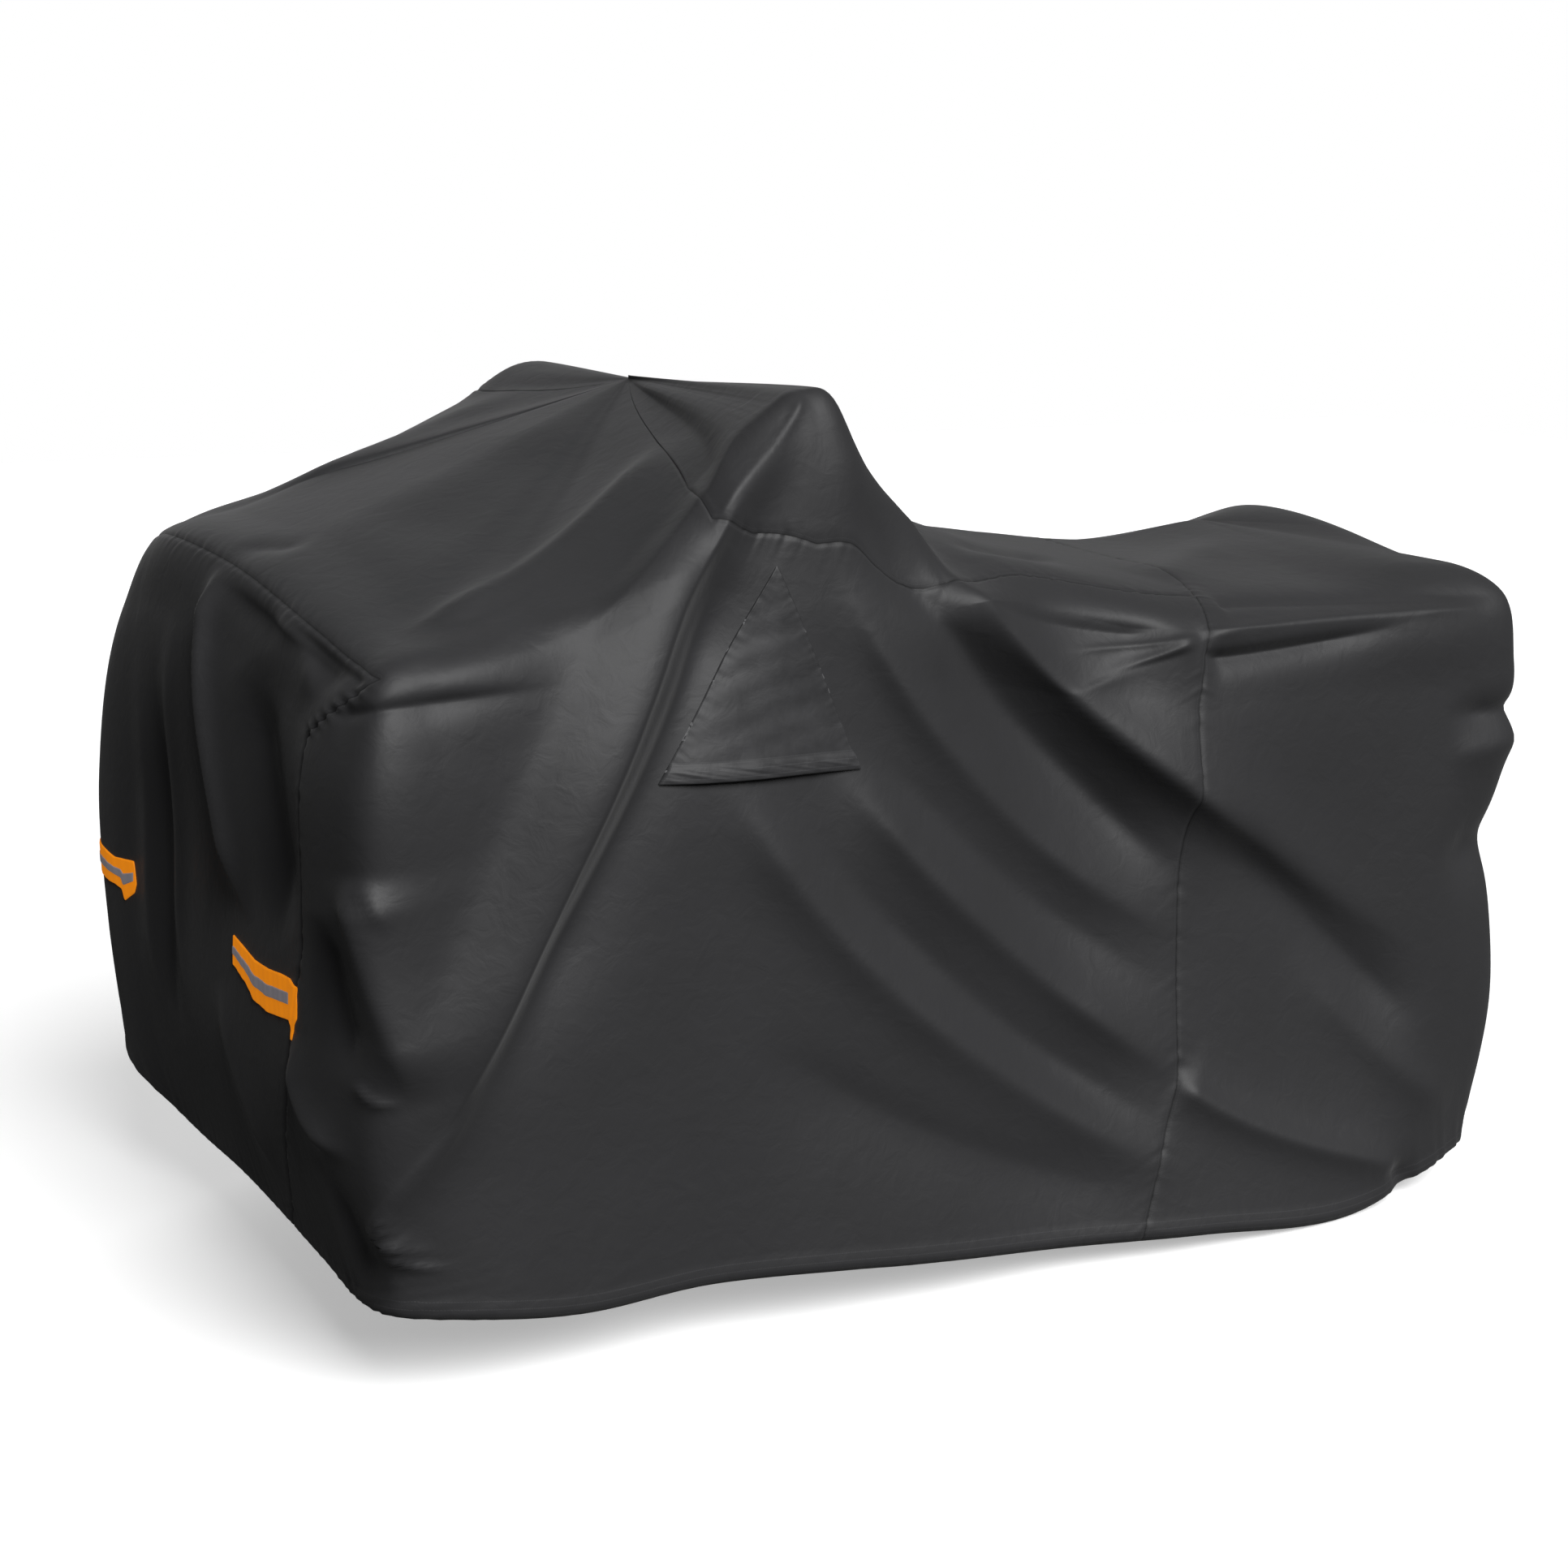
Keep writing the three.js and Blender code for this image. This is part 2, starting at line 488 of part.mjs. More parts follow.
// Vertices. The two sides share the spine's vertices, and all lines before or behind it meet at its ends.
const vertices = [];
const grid = lines.map(() => []);
const spineCells = lineAt.spine_end - lineAt.grip;
const spineKey = (i) => {
  if (i >= lineAt.grip && i <= lineAt.spine_end) return i - lineAt.grip;
  if (i >= lineAt.far_spine_end && i <= lineAt.far_grip) return lineAt.far_grip - i;
  return i > lineAt.spine_end && i < lineAt.far_spine_end ? spineCells : 0;
};
const spineVertex = [];
lines.forEach((line, i) => {
  const levels = rowLevels(line);
  levels.forEach((level, j) => {
    if (level >= TOP) {
      const key = spineKey(i);
      if (spineVertex[key] === undefined) {
        const place = lines[lineAt.grip + key][TOP];
        spineVertex[key] = vertices.push(clothPoint(place, TOP)) - 1;
      }
      grid[i][j] = spineVertex[key];
      return;
    }
    grid[i][j] = vertices.push(clothPoint(placeOn(line, level), level)) - 1;
  });
});

const cellMiddle = (i, j) => {
  const line = lines[i];
  const next = lines[(i + 1) % LINES].map((s, k) => (s < line[k] ? s + RING : s));
  const levels = [rowLevels(line), rowLevels(next)];
  const level = (levels[0][j] + levels[0][j + 1] + levels[1][j] + levels[1][j + 1]) / 4;
  return clothPoint((placeOn(line, level) + placeOn(next, level)) / 2, Math.min(level, TOP));
};

// Faces of a block of cells, each split along the diagonal that lies nearer the cloth.
// Empty triangles are left out.
const blockFaces = (firstLine, lastLine, firstRow, lastRow) => {
  const faces = [];
  const add = (a, b, c) => {
    if (a !== b && b !== c && c !== a) faces.push([a, b, c]);
  };
  for (let i = firstLine; i < lastLine; i += 1) {
    const left = grid[i % LINES];
    const right = grid[(i + 1) % LINES];
    for (let j = firstRow; j < lastRow; j += 1) {
      const [a, b, c, d] = [left[j], right[j], right[j + 1], left[j + 1]];
      const middle = cellMiddle(i % LINES, j);
      const miss = (from, to) => vertices[from].clone().lerp(vertices[to], 0.5).distanceTo(middle);
      if (miss(a, c) < miss(b, d)) {
        add(a, b, c);
        add(a, c, d);
      } else {
        add(a, b, d);
        add(b, c, d);
      }
    }
  }
  return faces;
};

const panelFaces = {
  front_panel: blockFaces(lineAt.front_far, LINES, 0, SHOULDER_ROW),
  body_panel: [
    ...blockFaces(0, lineAt.rear_near, 0, SEAM_ROW),
    ...blockFaces(lineAt.rear_far, lineAt.front_far, 0, SEAM_ROW),
    ...blockFaces(lineAt.front_far, LINES, SHOULDER_ROW, SEAM_ROW),
  ],
  top_panel: [
    ...blockFaces(0, lineAt.rear_near, SEAM_ROW, TOP_ROW),
    ...blockFaces(lineAt.rear_far, lineAt.front_far, SEAM_ROW, TOP_ROW),
  ],
  rear_panel: blockFaces(lineAt.rear_near, lineAt.rear_far, 0, TOP_ROW),
};

// Vertex normals of the whole cover
const vertexNormals = vertices.map(() => new THREE.Vector3());
Object.values(panelFaces).flat().forEach(([a, b, c]) => {
  const ab = vertices[b].clone().sub(vertices[a]);
  const ac = vertices[c].clone().sub(vertices[a]);
  const normal = ab.cross(ac);
  [a, b, c].forEach((v) => vertexNormals[v].add(normal));
});
vertexNormals.forEach((normal) => normal.normalize());

// Seam vertices belong to more than one panel
const panelsAt = vertices.map(() => new Set());
Object.entries(panelFaces).forEach(([name, faces]) => {
  faces.flat().forEach((v) => panelsAt[v].add(name));
});

// Edges that a set of faces uses once, each with the corner across from it
const outerEdges = (faces) => {
  const edges = new Map();
  faces.forEach(([a, b, c]) => {
    [[a, b, c], [b, c, a], [c, a, b]].forEach(([from, to, across]) => {
      if (!edges.delete(`${to},${from}`)) edges.set(`${from},${to}`, { from, to, across });
    });
  });
  return [...edges.values()];
};

// The panel's own vertices, drawn back square from its seams
const SHARPEST_TURN = 0.3;
const panelPoints = (faces) => {
  const pulls = new Map();
  outerEdges(faces).forEach(({ from, to, across }) => {
    if (panelsAt[from].size < 2 || panelsAt[to].size < 2) return;
    const along = vertices[to].clone().sub(vertices[from]).normalize();
    const inward = vertices[across].clone().sub(vertices[from]);
    inward.addScaledVector(along, -inward.dot(along)).normalize();
    [from, to].forEach((v) => pulls.set(v, [...(pulls.get(v) ?? []), inward]));
  });
  const points = new Map();
  faces.flat().forEach((v) => {
    const point = vertices[v].clone();
    const inwards = pulls.get(v) ?? [];
    if (inwards.length) {
      const pull = inwards.reduce((sum, inward) => sum.add(inward), new THREE.Vector3());
      const turn = inwards.length > 1 ? 1 + inwards[0].dot(inwards[1]) : 1;
      point.addScaledVector(pull, SEAM_SHIFT / Math.max(turn, SHARPEST_TURN));
    }
    points.set(v, point);
  });
  return points;
};

// A closed sheet between two offsets of the panel's faces
const sheetGeometry = (faces, points, inner, outer) => {
  const used = [...new Set(faces.flat())];
  const index = new Map(used.map((v, k) => [v, k]));
  const positions = [];
  [outer, inner].forEach((offset) => used.forEach((v) => {
    const p = points.get(v).clone().addScaledVector(vertexNormals[v], offset);
    positions.push(p.x - ORIGIN.x, p.y - ORIGIN.y, p.z - ORIGIN.z);
  }));
  const n = used.length;
  const triangles = [];
  faces.forEach((face) => {
    const [a, b, c] = face.map((v) => index.get(v));
    triangles.push(a, b, c, n + a, n + c, n + b);
  });
  outerEdges(faces).forEach((edge) => {
    const [from, to] = [index.get(edge.from), index.get(edge.to)];
    triangles.push(from, n + from, to, to, n + from, n + to);
  });
  const geometry = new THREE.BufferGeometry();
  geometry.setAttribute('position', new THREE.Float32BufferAttribute(positions, 3));
  geometry.setIndex(triangles);
  return geometry;
};

const toSolid = (geometry) => {
  const bare = geometry.clone();
  bare.deleteAttribute('normal');
  bare.deleteAttribute('uv');
  const merged = mergeVertices(bare);
  return new wasm.Manifold(new wasm.Mesh({
    numProp: 3,
    vertProperties: new Float32Array(merged.attributes.position.array),
    triVerts: new Uint32Array(merged.index.array),
  }));
};
const toGeometry = (solid) => {
  const mesh = solid.getMesh();
  const geometry = new THREE.BufferGeometry();
  geometry.setAttribute('position', new THREE.BufferAttribute(new Float32Array(mesh.vertProperties), 3));
  geometry.setIndex(new THREE.BufferAttribute(new Uint32Array(mesh.triVerts), 1));
  return geometry;
};

// A prism with the given outline, cutting along a level direction.
// The outline's first number runs to the right as seen against that direction, its second is the height.
const PRISM_LENGTH = 240;
const cutter = (outline, middle, faces) => {
  const shape = new THREE.Shape(outline.map(([across, z]) => new THREE.Vector2(across, z)));
  const geometry = new THREE.ExtrudeGeometry(shape, { depth: PRISM_LENGTH, bevelEnabled: false });
  geometry.translate(0, 0, -PRISM_LENGTH / 2);
  const out = new THREE.Vector3(-Math.cos(radians(faces)), -Math.sin(radians(faces)), 0);
  const up = new THREE.Vector3(0, 0, 1);
  geometry.applyMatrix4(new THREE.Matrix4().makeBasis(up.clone().cross(out), up, out));
  geometry.translate(middle.x - ORIGIN.x, middle.y - ORIGIN.y, middle.z - ORIGIN.z);
  return toSolid(geometry);
};

// What lies on a panel: the panel's own faces, raised and cut to an outline
const laidOn = (panel, raise, thick, outline, middle, faces) => {
  const points = panelPoints(panelFaces[panel]);
  const slab = toSolid(sheetGeometry(panelFaces[panel], points, raise, raise + thick));
  return toGeometry(slab.intersect(cutter(outline, middle, faces)));
};

// Vent flap on the near side: apex up, a folded band along its base
const VENT = {
  middle: { x: -462, y: -610, z: 1100 },
  faces: 90,
  outline: [[30, 178], [-208, -158], [174, -166]],
};
// Orange band on the front panel, dipping with the cloth. Its end is folded down at the corner seam.
// dip: upper and lower edge along the band. end: the folded end, from the lower edge up to the upper one.
const NEAR_BAND = {
  middle: { x: -1205, y: -290, z: 620 },
  faces: 0,
  dip: [
    { across: -156, z: 26, low: -26 },
    { across: -93, z: 17, low: -40 },
    { across: -46, z: 10, low: -60 },
    { across: 19, z: 12, low: -62 },
    { across: 77, z: 19, low: -54 },
    { across: 119, z: 22, low: -48 },
  ],
  end: [[136, -79], [144, -50], [161, -33], [161, -14], [153, 16]],
  tapeEnd: [],
};
// Orange band that wraps the far front corner, with a short tail at its near end
const FAR_BAND = {
  middle: { x: -1215, y: 470, z: 640 },
  faces: 330,
  dip: [
    { across: -150, z: 28, low: -30 },
    { across: -80, z: 26, low: -34 },
    { across: -7, z: 22, low: -37 },
    { across: 32, z: 15, low: -38 },
    { across: 50, z: 17, low: -43 },
  ],
  end: [[56, -62], [84, -40], [91, -21], [84, 20]],
  tapeEnd: [{ across: 86, z: 19, low: -40 }],
};
const TAPE_FROM = 0.34; // the tape covers this share of the band's height, counted from above
const TAPE_TO = 0.64;
const bandOutline = (rows, from, to, inset, end) => {
  const last = rows.length - 1;
  const across = (row, k) => row.across + (k === 0 ? inset : 0) - (k === last ? inset : 0);
  const upper = rows.map((row, k) => [across(row, k), mix(row.z, row.low, from)]);
  const lower = rows.map((row, k) => [across(row, k), mix(row.z, row.low, to)]);
  return [...lower, ...end, ...upper.reverse()];
};

const COLOURS = {
  cloth: 0x3f3f40,
  front: 0x1b1b1c,
  flap: 0x434343,
  band: 0xff9c1e,
  tape: 0x8e888c,
};
const material = (colour, roughness) => new THREE.MeshStandardMaterial({
  color: colour,
  roughness,
  metalness: 0,
});

const cover = new THREE.Group();
const addPiece = (name, geometry, colour, roughness) => {
  const mesh = new THREE.Mesh(geometry, material(colour, roughness));
  mesh.name = name;
  cover.add(mesh);
};
const addPanel = (name, colour) => {
  const faces = panelFaces[name];
  addPiece(name, sheetGeometry(faces, panelPoints(faces), -SHEET, 0), colour, 0.7);
};
addPanel('front_panel', COLOURS.front);
addPanel('body_panel', COLOURS.cloth);
addPanel('top_panel', COLOURS.cloth);
addPanel('rear_panel', COLOURS.cloth);

const flap = laidOn('body_panel', LAY_GAP, SHEET, VENT.outline, VENT.middle, VENT.faces);
addPiece('vent_flap', flap, COLOURS.flap, 0.7);

const addBand = (name, band) => {
  const whole = bandOutline(band.dip, 0, 1, 0, band.end);
  const strip = laidOn('front_panel', LAY_GAP, BAND_THICK, whole, band.middle, band.faces);
  addPiece(name, strip, COLOURS.band, 0.6);
  const middle = bandOutline([...band.dip, ...band.tapeEnd], TAPE_FROM, TAPE_TO, 1, []);
  const raise = LAY_GAP + BAND_THICK + LAY_GAP;
  const tape = laidOn('front_panel', raise, TAPE_THICK, middle, band.middle, band.faces);
  addPiece(`${name}_tape`, tape, COLOURS.tape, 0.35);
};
addBand('strip_near', NEAR_BAND);
addBand('strip_far', FAR_BAND);

export default cover;
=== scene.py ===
import math

import bpy
import numpy as np
from mathutils import Matrix


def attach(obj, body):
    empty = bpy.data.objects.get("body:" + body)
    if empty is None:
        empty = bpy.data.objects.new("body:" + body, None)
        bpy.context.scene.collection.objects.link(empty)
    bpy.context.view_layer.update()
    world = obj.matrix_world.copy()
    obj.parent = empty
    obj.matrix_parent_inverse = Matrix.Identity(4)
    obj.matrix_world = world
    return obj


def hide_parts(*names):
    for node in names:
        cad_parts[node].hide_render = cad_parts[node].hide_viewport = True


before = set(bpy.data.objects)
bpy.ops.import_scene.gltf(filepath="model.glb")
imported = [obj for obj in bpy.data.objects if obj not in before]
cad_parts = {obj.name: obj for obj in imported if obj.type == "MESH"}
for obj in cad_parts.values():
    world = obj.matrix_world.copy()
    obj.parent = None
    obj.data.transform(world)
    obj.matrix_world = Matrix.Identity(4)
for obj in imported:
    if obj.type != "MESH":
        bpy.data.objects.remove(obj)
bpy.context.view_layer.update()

# An all-terrain vehicle cover: one draped cloth in four panels, a vent flap and two reflective bands.
# The tables are in millimetres, X towards the tail, Z up from the ground, near side at -Y.
# The cloth has two coordinates: s runs round the cover (equal to x along the near side), and level climbs
# through seven rings: hem, knee, belt, chest, shoulder, brow and spine.
ORIGIN = np.array((-29, -12, -3.2))
HEM, SHOULDER, BROW, TOP = 0, 4, 5, 6
CHEST_DROP = 130.0  # chest ring below the shoulder ring
KNEE_SHARE = 0.27  # heights of knee and belt, as shares of the way from hem to shoulder
BELT_SHARE = 0.55
FAR_MIRROR = 3537.0  # a place at x on the far side has s = FAR_MIRROR - x
FRONT_CUT = 4334.0  # beyond this s, the front is counted back from the near corner
FLANK_FALL = 1.6  # how steeply a fold's rise falls off
FOLD_REACH = 4.0  # a fold is worked out within this many flanks of its path
FOLD_STEPS = 40  # straight steps along its path
WALL_TILT = 0.6  # upward part of the normal below which cloth counts as wall
CROWN_TILT = 0.93  # and above which it counts as flat
CROWN_START = SHOULDER - 0.4  # crown folds fade in over this span of levels
CROWN_BLEND = 0.6
CALM_TIP = 190.0  # wall folds die out this far from the spine's front end, where the cloth's lines meet
STEP_S = 6.0  # small steps along s and level, for slopes
STEP_LEVEL = 0.03
RELIEF_STEP = 0.05
LEAST_CHORD = 1e-3
LEAST_NORMAL = 1e-6
FAR_AWAY = 1e6  # a distance that no seam has

# x, y, z of the spine
SPINE = {
    "front_end": (-350, 110, 1528),
    "behind_grips": (-150, 47, 1440),
    "seat": (125, 0, 1276),
    "behind_seat": (410, 0, 1221),
    "rear_rack": (640, 0, 1200),
    "rear_end": (900, 0, 1227),
}

# x, y of the shoulder ring; way the wall faces in degrees; height of the shoulder; how far chest, belt, knee
# and hem stand out from it; height of the hem; x, y and height of the brow
SECTIONS = {
    "front_middle": (-1145, 0, 0, 1245, 40, 55, 55, -5, 155, -1000, 0, 1300),
    "front_near": (-1145, -380, 0, 1190, 40, 60, 60, 0, 135, -1000, -330, 1250),
    "front_seam": (-1140, -545, 15, 1160, 60, 65, 60, 5, 122, -1010, -470, 1210),
    "rack_corner": (-1132, -620, 45, 1148, 50, 45, 40, 12, 136, -985, -520, 1205),
    "rack_end": (-1050, -640, 90, 1145, 25, 30, 30, 35, 130, -920, -520, 1215),
    "rack_side": (-830, -625, 90, 1165, 30, 35, 40, 55, 98, -730, -470, 1290),
    "tent_foot": (-580, -580, 90, 1225, 40, 65, 80, 90, 97, -500, -480, 1420),
    "grip": (-350, -595, 90, 1220, 10, 50, 75, 105, 88, -345, -500, 1552),
    "grip_rear": (-290, -597, 90, 1210, 7, 48, 75, 107, 83, -290, -500, 1538),
    "grip_back": (-235, -598, 90, 1200, 4, 44, 75, 108, 77, -228, -490, 1422),
    "tent_rear": (-150, -600, 90, 1180, 0, 40, 75, 110, 70, -140, -480, 1308),
    "seat": (120, -545, 90, 1150, 10, 60, 110, 165, 47, 130, -400, 1245),
    "rear_seam": (400, -610, 90, 1115, 20, 30, 70, 130, 30, 420, -440, 1185),
    "rear_side": (760, -635, 90, 1110, 10, 15, 40, 98, 2, 770, -450, 1175),
    "rear_bend": (1050, -645, 100, 1118, 14, 20, 30, 12, 38, 1000, -500, 1198),
    "rear_corner": (1136, -624, 135, 1142, 28, 8, 28, -12, 48, 1080, -526, 1194),
    "tail_near": (1150, -470, 180, 1152, 15, 4, 8, -40, 62, 1080, -380, 1196),
    "tail_middle": (1150, 0, 180, 1215, 10, 20, 25, -20, 60, 1060, 0, 1248),
    "tail_far": (1145, 470, 180, 1105, 15, 20, 25, -20, 50, 1060, 330, 1160),
    "far_rear_corner": (1132, 622, 225, 1078, 22, 35, 45, 0, 40, 1050, 470, 1122),
    "far_rear_bend": (1040, 640, 260, 1070, 10, 20, 35, 40, 8, 980, 460, 1112),
    "far_rear_side": (760, 640, 270, 1080, 10, 20, 40, 70, 5, 770, 450, 1118),
    "far_rear_seam": (400, 620, 270, 1105, 15, 30, 60, 100, 25, 420, 440, 1188),
    "far_seat": (120, 560, 270, 1150, 10, 50, 90, 130, 55, 130, 400, 1230),
    "far_tent_rear": (-150, 595, 270, 1180, 5, 40, 70, 100, 80, -140, 480, 1340),
    "far_grip_rear": (-290, 598, 270, 1212, 8, 48, 70, 93, 92, -290, 500, 1522),
    "far_grip": (-350, 600, 270, 1225, 10, 50, 70, 90, 100, -350, 500, 1536),
    "far_tent_foot": (-580, 600, 270, 1265, 20, 50, 65, 80, 125, -520, 500, 1455),
    "far_rack_side": (-830, 600, 270, 1245, 30, 50, 55, 60, 150, -760, 490, 1352),
    "far_rack_end": (-1030, 565, 275, 1240, 50, 85, 85, 45, 220, -940, 440, 1305),
    "far_rack_corner": (-1115, 480, 315, 1235, 70, 133, 124, 97, 250, -985, 400, 1290),
    "far_front": (-1145, 360, 0, 1255, 50, 60, 60, 10, 176, -1010, 330, 1295),
}

# s0, z0, s1, z1, s2, z2, left, right, rise, crest, fade in, fade out
WALL_FOLDS = {
    "grip_to_front_wheel": (-372, 1498, -735, 1065, -1205, 190, 36, 120, 56, 0.45, 0.25, 0.25),
    "trough_beside_it": (-520, 1300, -690, 960, -1030, 440, 80, 42, -34, 0.5, 0.25, 0.25),
    "grip_to_rear_wheel": (-300, 1500, 180, 1005, 1020, 440, 95, 44, 54, 0.35, 0.3, 0.4),
    "trough_under_it": (-320, 1430, 40, 1020, 430, 640, 45, 65, -34, 0.6, 0.25, 0.25),
    "side_ridge_upper": (-330, 1300, -60, 890, 430, 555, 72, 40, 28, 0.45, 0.3, 0.3),
    "side_trough": (-290, 1000, -10, 735, 400, 460, 40, 55, -14, 0.6, 0.3, 0.3),
    "side_ridge_middle": (-345, 960, -50, 635, 430, 290, 72, 44, 31, 0.45, 0.25, 0.25),
    "side_trough_lower": (-470, 920, -70, 520, 390, 210, 42, 55, -20, 0.6, 0.4, 0.3),
    "side_ridge_lower": (-560, 970, -190, 510, 430, 115, 62, 52, 28, 0.45, 0.2, 0.25),
    "flat_below_it": (-520, 520, -150, 285, 330, 100, 45, 85, -16, 0.7, 0.3, 0.3),
    "under_seat_seam": (-100, 1200, 160, 1135, 400, 1120, 26, 70, -26, 0.6, 0.25, 0.25),
    "seat_tuck": (150, 1015, 298, 1063, 435, 1106, 14, 24, 15, 0.35, 0.35, 0.2),
    "under_rear_rack": (425, 1070, 625, 1080, 930, 1112, 12, 40, -22, 0.35, 0.15, 0.4),
    "rear_rack_edge": (425, 1106, 700, 1122, 1120, 1124, 22, 14, 13, 0.45, 0.15, 0.2),
    "above_rear_rack": (490, 1150, 760, 1162, 1150, 1144, 24, 12, -18, 0.5, 0.2, 0.2),
    "rear_low_ridge": (360, 318, 600, 178, 1000, 45, 45, 40, 24, 0.3, 0.12, 0.25),
    "rear_soft_hollow": (420, 815, 720, 550, 960, 320, 45, 75, -22, 0.6, 0.2, 0.3),
    "rear_soft_ridge": (640, 520, 850, 300, 1070, 150, 55, 50, 14, 0.5, 0.35, 0.25),
    "hem_pit": (860, 90, 925, 45, 990, 0, 30, 30, -26, 0.6, 0.5, 0.5),
    "corner_hollow_high": (980, 930, 1110, 925, 1260, 925, 25, 25, -22, 0.6, 0.4, 0.4),
    "corner_ridge": (980, 850, 1110, 862, 1260, 880, 30, 40, 14, 0.6, 0.4, 0.4),
    "corner_hollow_low": (960, 650, 1110, 665, 1280, 700, 60, 60, -26, 0.7, 0.4, 0.4),
    "under_front_rack": (-1235, 1080, -1090, 1110, -820, 1116, 12, 34, -14, 0.5, 0.2, 0.45),
    "hood_lip": (-1215, 1128, -1505, 1172, -1800, 1215, 34, 18, -12, 0.5, 0.12, 0.3),
    "front_band": (-1790, 1245, -1695, 950, -1540, 675, 34, 34, 34, 0.35, 0.15, 0.25),
    "front_hollow": (-1600, 1110, -1490, 900, -1370, 680, 80, 50, -36, 0.7, 0.3, 0.3),
    "corner_wing": (-1560, 1180, -1400, 1158, -1300, 1085, 26, 40, 14, 0.4, 0.3, 0.3),
    "front_low_ridge": (-1700, 560, -1620, 380, -1500, 240, 50, 50, 14, 0.6, 0.3, 0.3),
    "far_front_ridge": (-1930, 1180, -1940, 800, -1920, 400, 40, 40, 12, 0.5, 0.3, 0.3),
    "far_front_hollow": (-2010, 1100, -2010, 700, -1990, 350, 30, 30, -12, 0.5, 0.3, 0.3),
    "far_corner_ridge": (-2080, 1100, -2080, 700, -2060, 350, 40, 40, 14, 0.5, 0.3, 0.3),
    "tyre_tread": (-1168, 860, -1140, 690, -1100, 495, 64, 26, 34, 0.25, 0.2, 0.25),
    "tyre_side": (-1230, 780, -1205, 660, -1160, 530, 34, 34, -24, 0.5, 0.3, 0.3),
    "tyre_foot": (-1335, 560, -1270, 452, -1165, 405, 36, 28, 24, 0.35, 0.3, 0.3),
    "corner_foot": (-1260, 400, -1200, 260, -1130, 135, 34, 34, -14, 0.5, 0.4, 0.4),
}

# The far side's folds, in x and z
FAR_FOLDS = {
    "far_to_front_wheel": (-372, 1505, -680, 1065, -1120, 300, 60, 90, 38, 0.4, 0.4, 0.25),
    "far_trough": (-520, 1230, -700, 900, -980, 480, 60, 50, -24, 0.6, 0.25, 0.25),
    "far_to_rear_wheel": (-292, 1520, 80, 1135, 900, 520, 95, 60, 40, 0.4, 0.4, 0.3),
    "far_trough_under": (-290, 1440, -60, 1090, 360, 690, 60, 75, -34, 0.7, 0.25, 0.25),
    "far_ridge_upper": (-300, 1120, -60, 820, 420, 380, 50, 55, 24, 0.5, 0.25, 0.25),
    "far_ridge_lower": (-560, 900, -340, 600, 260, 170, 50, 70, 20, 0.5, 0.2, 0.2),
    "far_under_seat": (-100, 1200, 160, 1135, 420, 1120, 26, 70, -20, 0.6, 0.25, 0.25),
    "far_under_rack": (430, 1085, 640, 1100, 980, 1095, 14, 34, -16, 0.5, 0.35, 0.35),
    "far_low_ridge": (420, 330, 640, 200, 960, 90, 45, 50, 18, 0.5, 0.25, 0.25),
}

# The crown's folds, in x and y
CROWN_FOLDS = {
    "hood_ridge": (-450, -250, -735, -408, -1080, -520, 70, 34, 18, 0.35, 0.25, 0.2),
    "hood_edge": (-560, -545, -720, -578, -900, -605, 40, 34, 12, 0.5, 0.3, 0.3),
    "hood_front_hollow": (-1125, 60, -1083, -24, -1035, -95, 34, 34, -9, 0.6, 0.4, 0.4),
    "hood_hollow": (-520, 20, -760, -140, -980, -200, 120, 120, -12, 0.8, 0.3, 0.3),
    "hood_far_ridge": (-420, 330, -700, 360, -1000, 330, 60, 70, 12, 0.6, 0.3, 0.3),
    "seat_hollow": (30, -380, 180, -340, 340, -300, 40, 40, -12, 0.6, 0.3, 0.3),
    "tail_ridge": (450, -430, 620, -300, 860, -120, 70, 70, 12, 0.7, 0.3, 0.3),
}

# s at each ring from hem to spine
SEAM_LINES = {
    "front_near": (-1540, -1390, -1297, -1290, -1146, -1146, -1146),
    "front_fold": (-1250, -1098, -930, -716, -630, -500, -430),
    "rear_near": (275, 376, 390, 418, 448, 500, 520),
    "rear_far": (3262, 3161, 3147, 3119, 3089, 3037, 3017),
    "front_far": (4700, 4640, 4630, 4640, 4680, 4680, 4680),
}

# s and level of the seam between body and top panel
TOP_SEAM = (
    (-720, 6),
    (-664, 5.33),
    (-576, 4.47),
    (-480, 4.31),
    (-360, 4.22),
    (-200, 4.27),
    (-72, 4.45),
    (200, 4.58),
    (448, 4.63),
    (3089, 4.63),
    (3600, 4.45),
    (3887, 4.4),
    (3990, 4.6),
    (4144, 5.46),
    (4240, 6),
)


def hermite(a, b, slope_a, slope_b, span, t):
    """Cubic from a to b over a span, with the given slopes at its ends, at share t."""
    t2, t3 = t * t, t * t * t
    return (
        (2 * t3 - 3 * t2 + 1) * a
        + (t3 - 2 * t2 + t) * span * slope_a
        + (3 * t2 - 2 * t3) * b
        + (t3 - t2) * span * slope_b
    )


def smooth(t):
    """3t^2 - 2t^3, with t held between 0 and 1."""
    t = np.clip(t, 0, 1)
    return t * t * (3 - 2 * t)


SPINE_ROWS = np.array(list(SPINE.values()), float)
SPINE_FRONT, SPINE_REAR = SPINE_ROWS[0, 0], SPINE_ROWS[-1, 0]


def spine_at(x):
    """Points of the spine at distances x: a cubic through its rows, level at both ends."""
    knots, values = SPINE_ROWS[:, 0], SPINE_ROWS[:, 1:]
    steps = np.diff(knots)[:, None]
    rates = np.diff(values, axis=0) / steps
    slopes = np.zeros_like(values)
    slopes[1:-1] = (rates[:-1] * steps[1:] + rates[1:] * steps[:-1]) / (steps[1:] + steps[:-1])
    x = np.clip(x, SPINE_FRONT, SPINE_REAR)
    i = np.clip(np.searchsorted(knots, x, side="right") - 1, 0, len(steps) - 1)
    t = ((x - knots[i]) / steps[i, 0])[..., None]
    yz = hermite(values[i], values[i + 1], slopes[i], slopes[i + 1], steps[i], t)
    return np.concatenate([x[..., None], yz], -1)


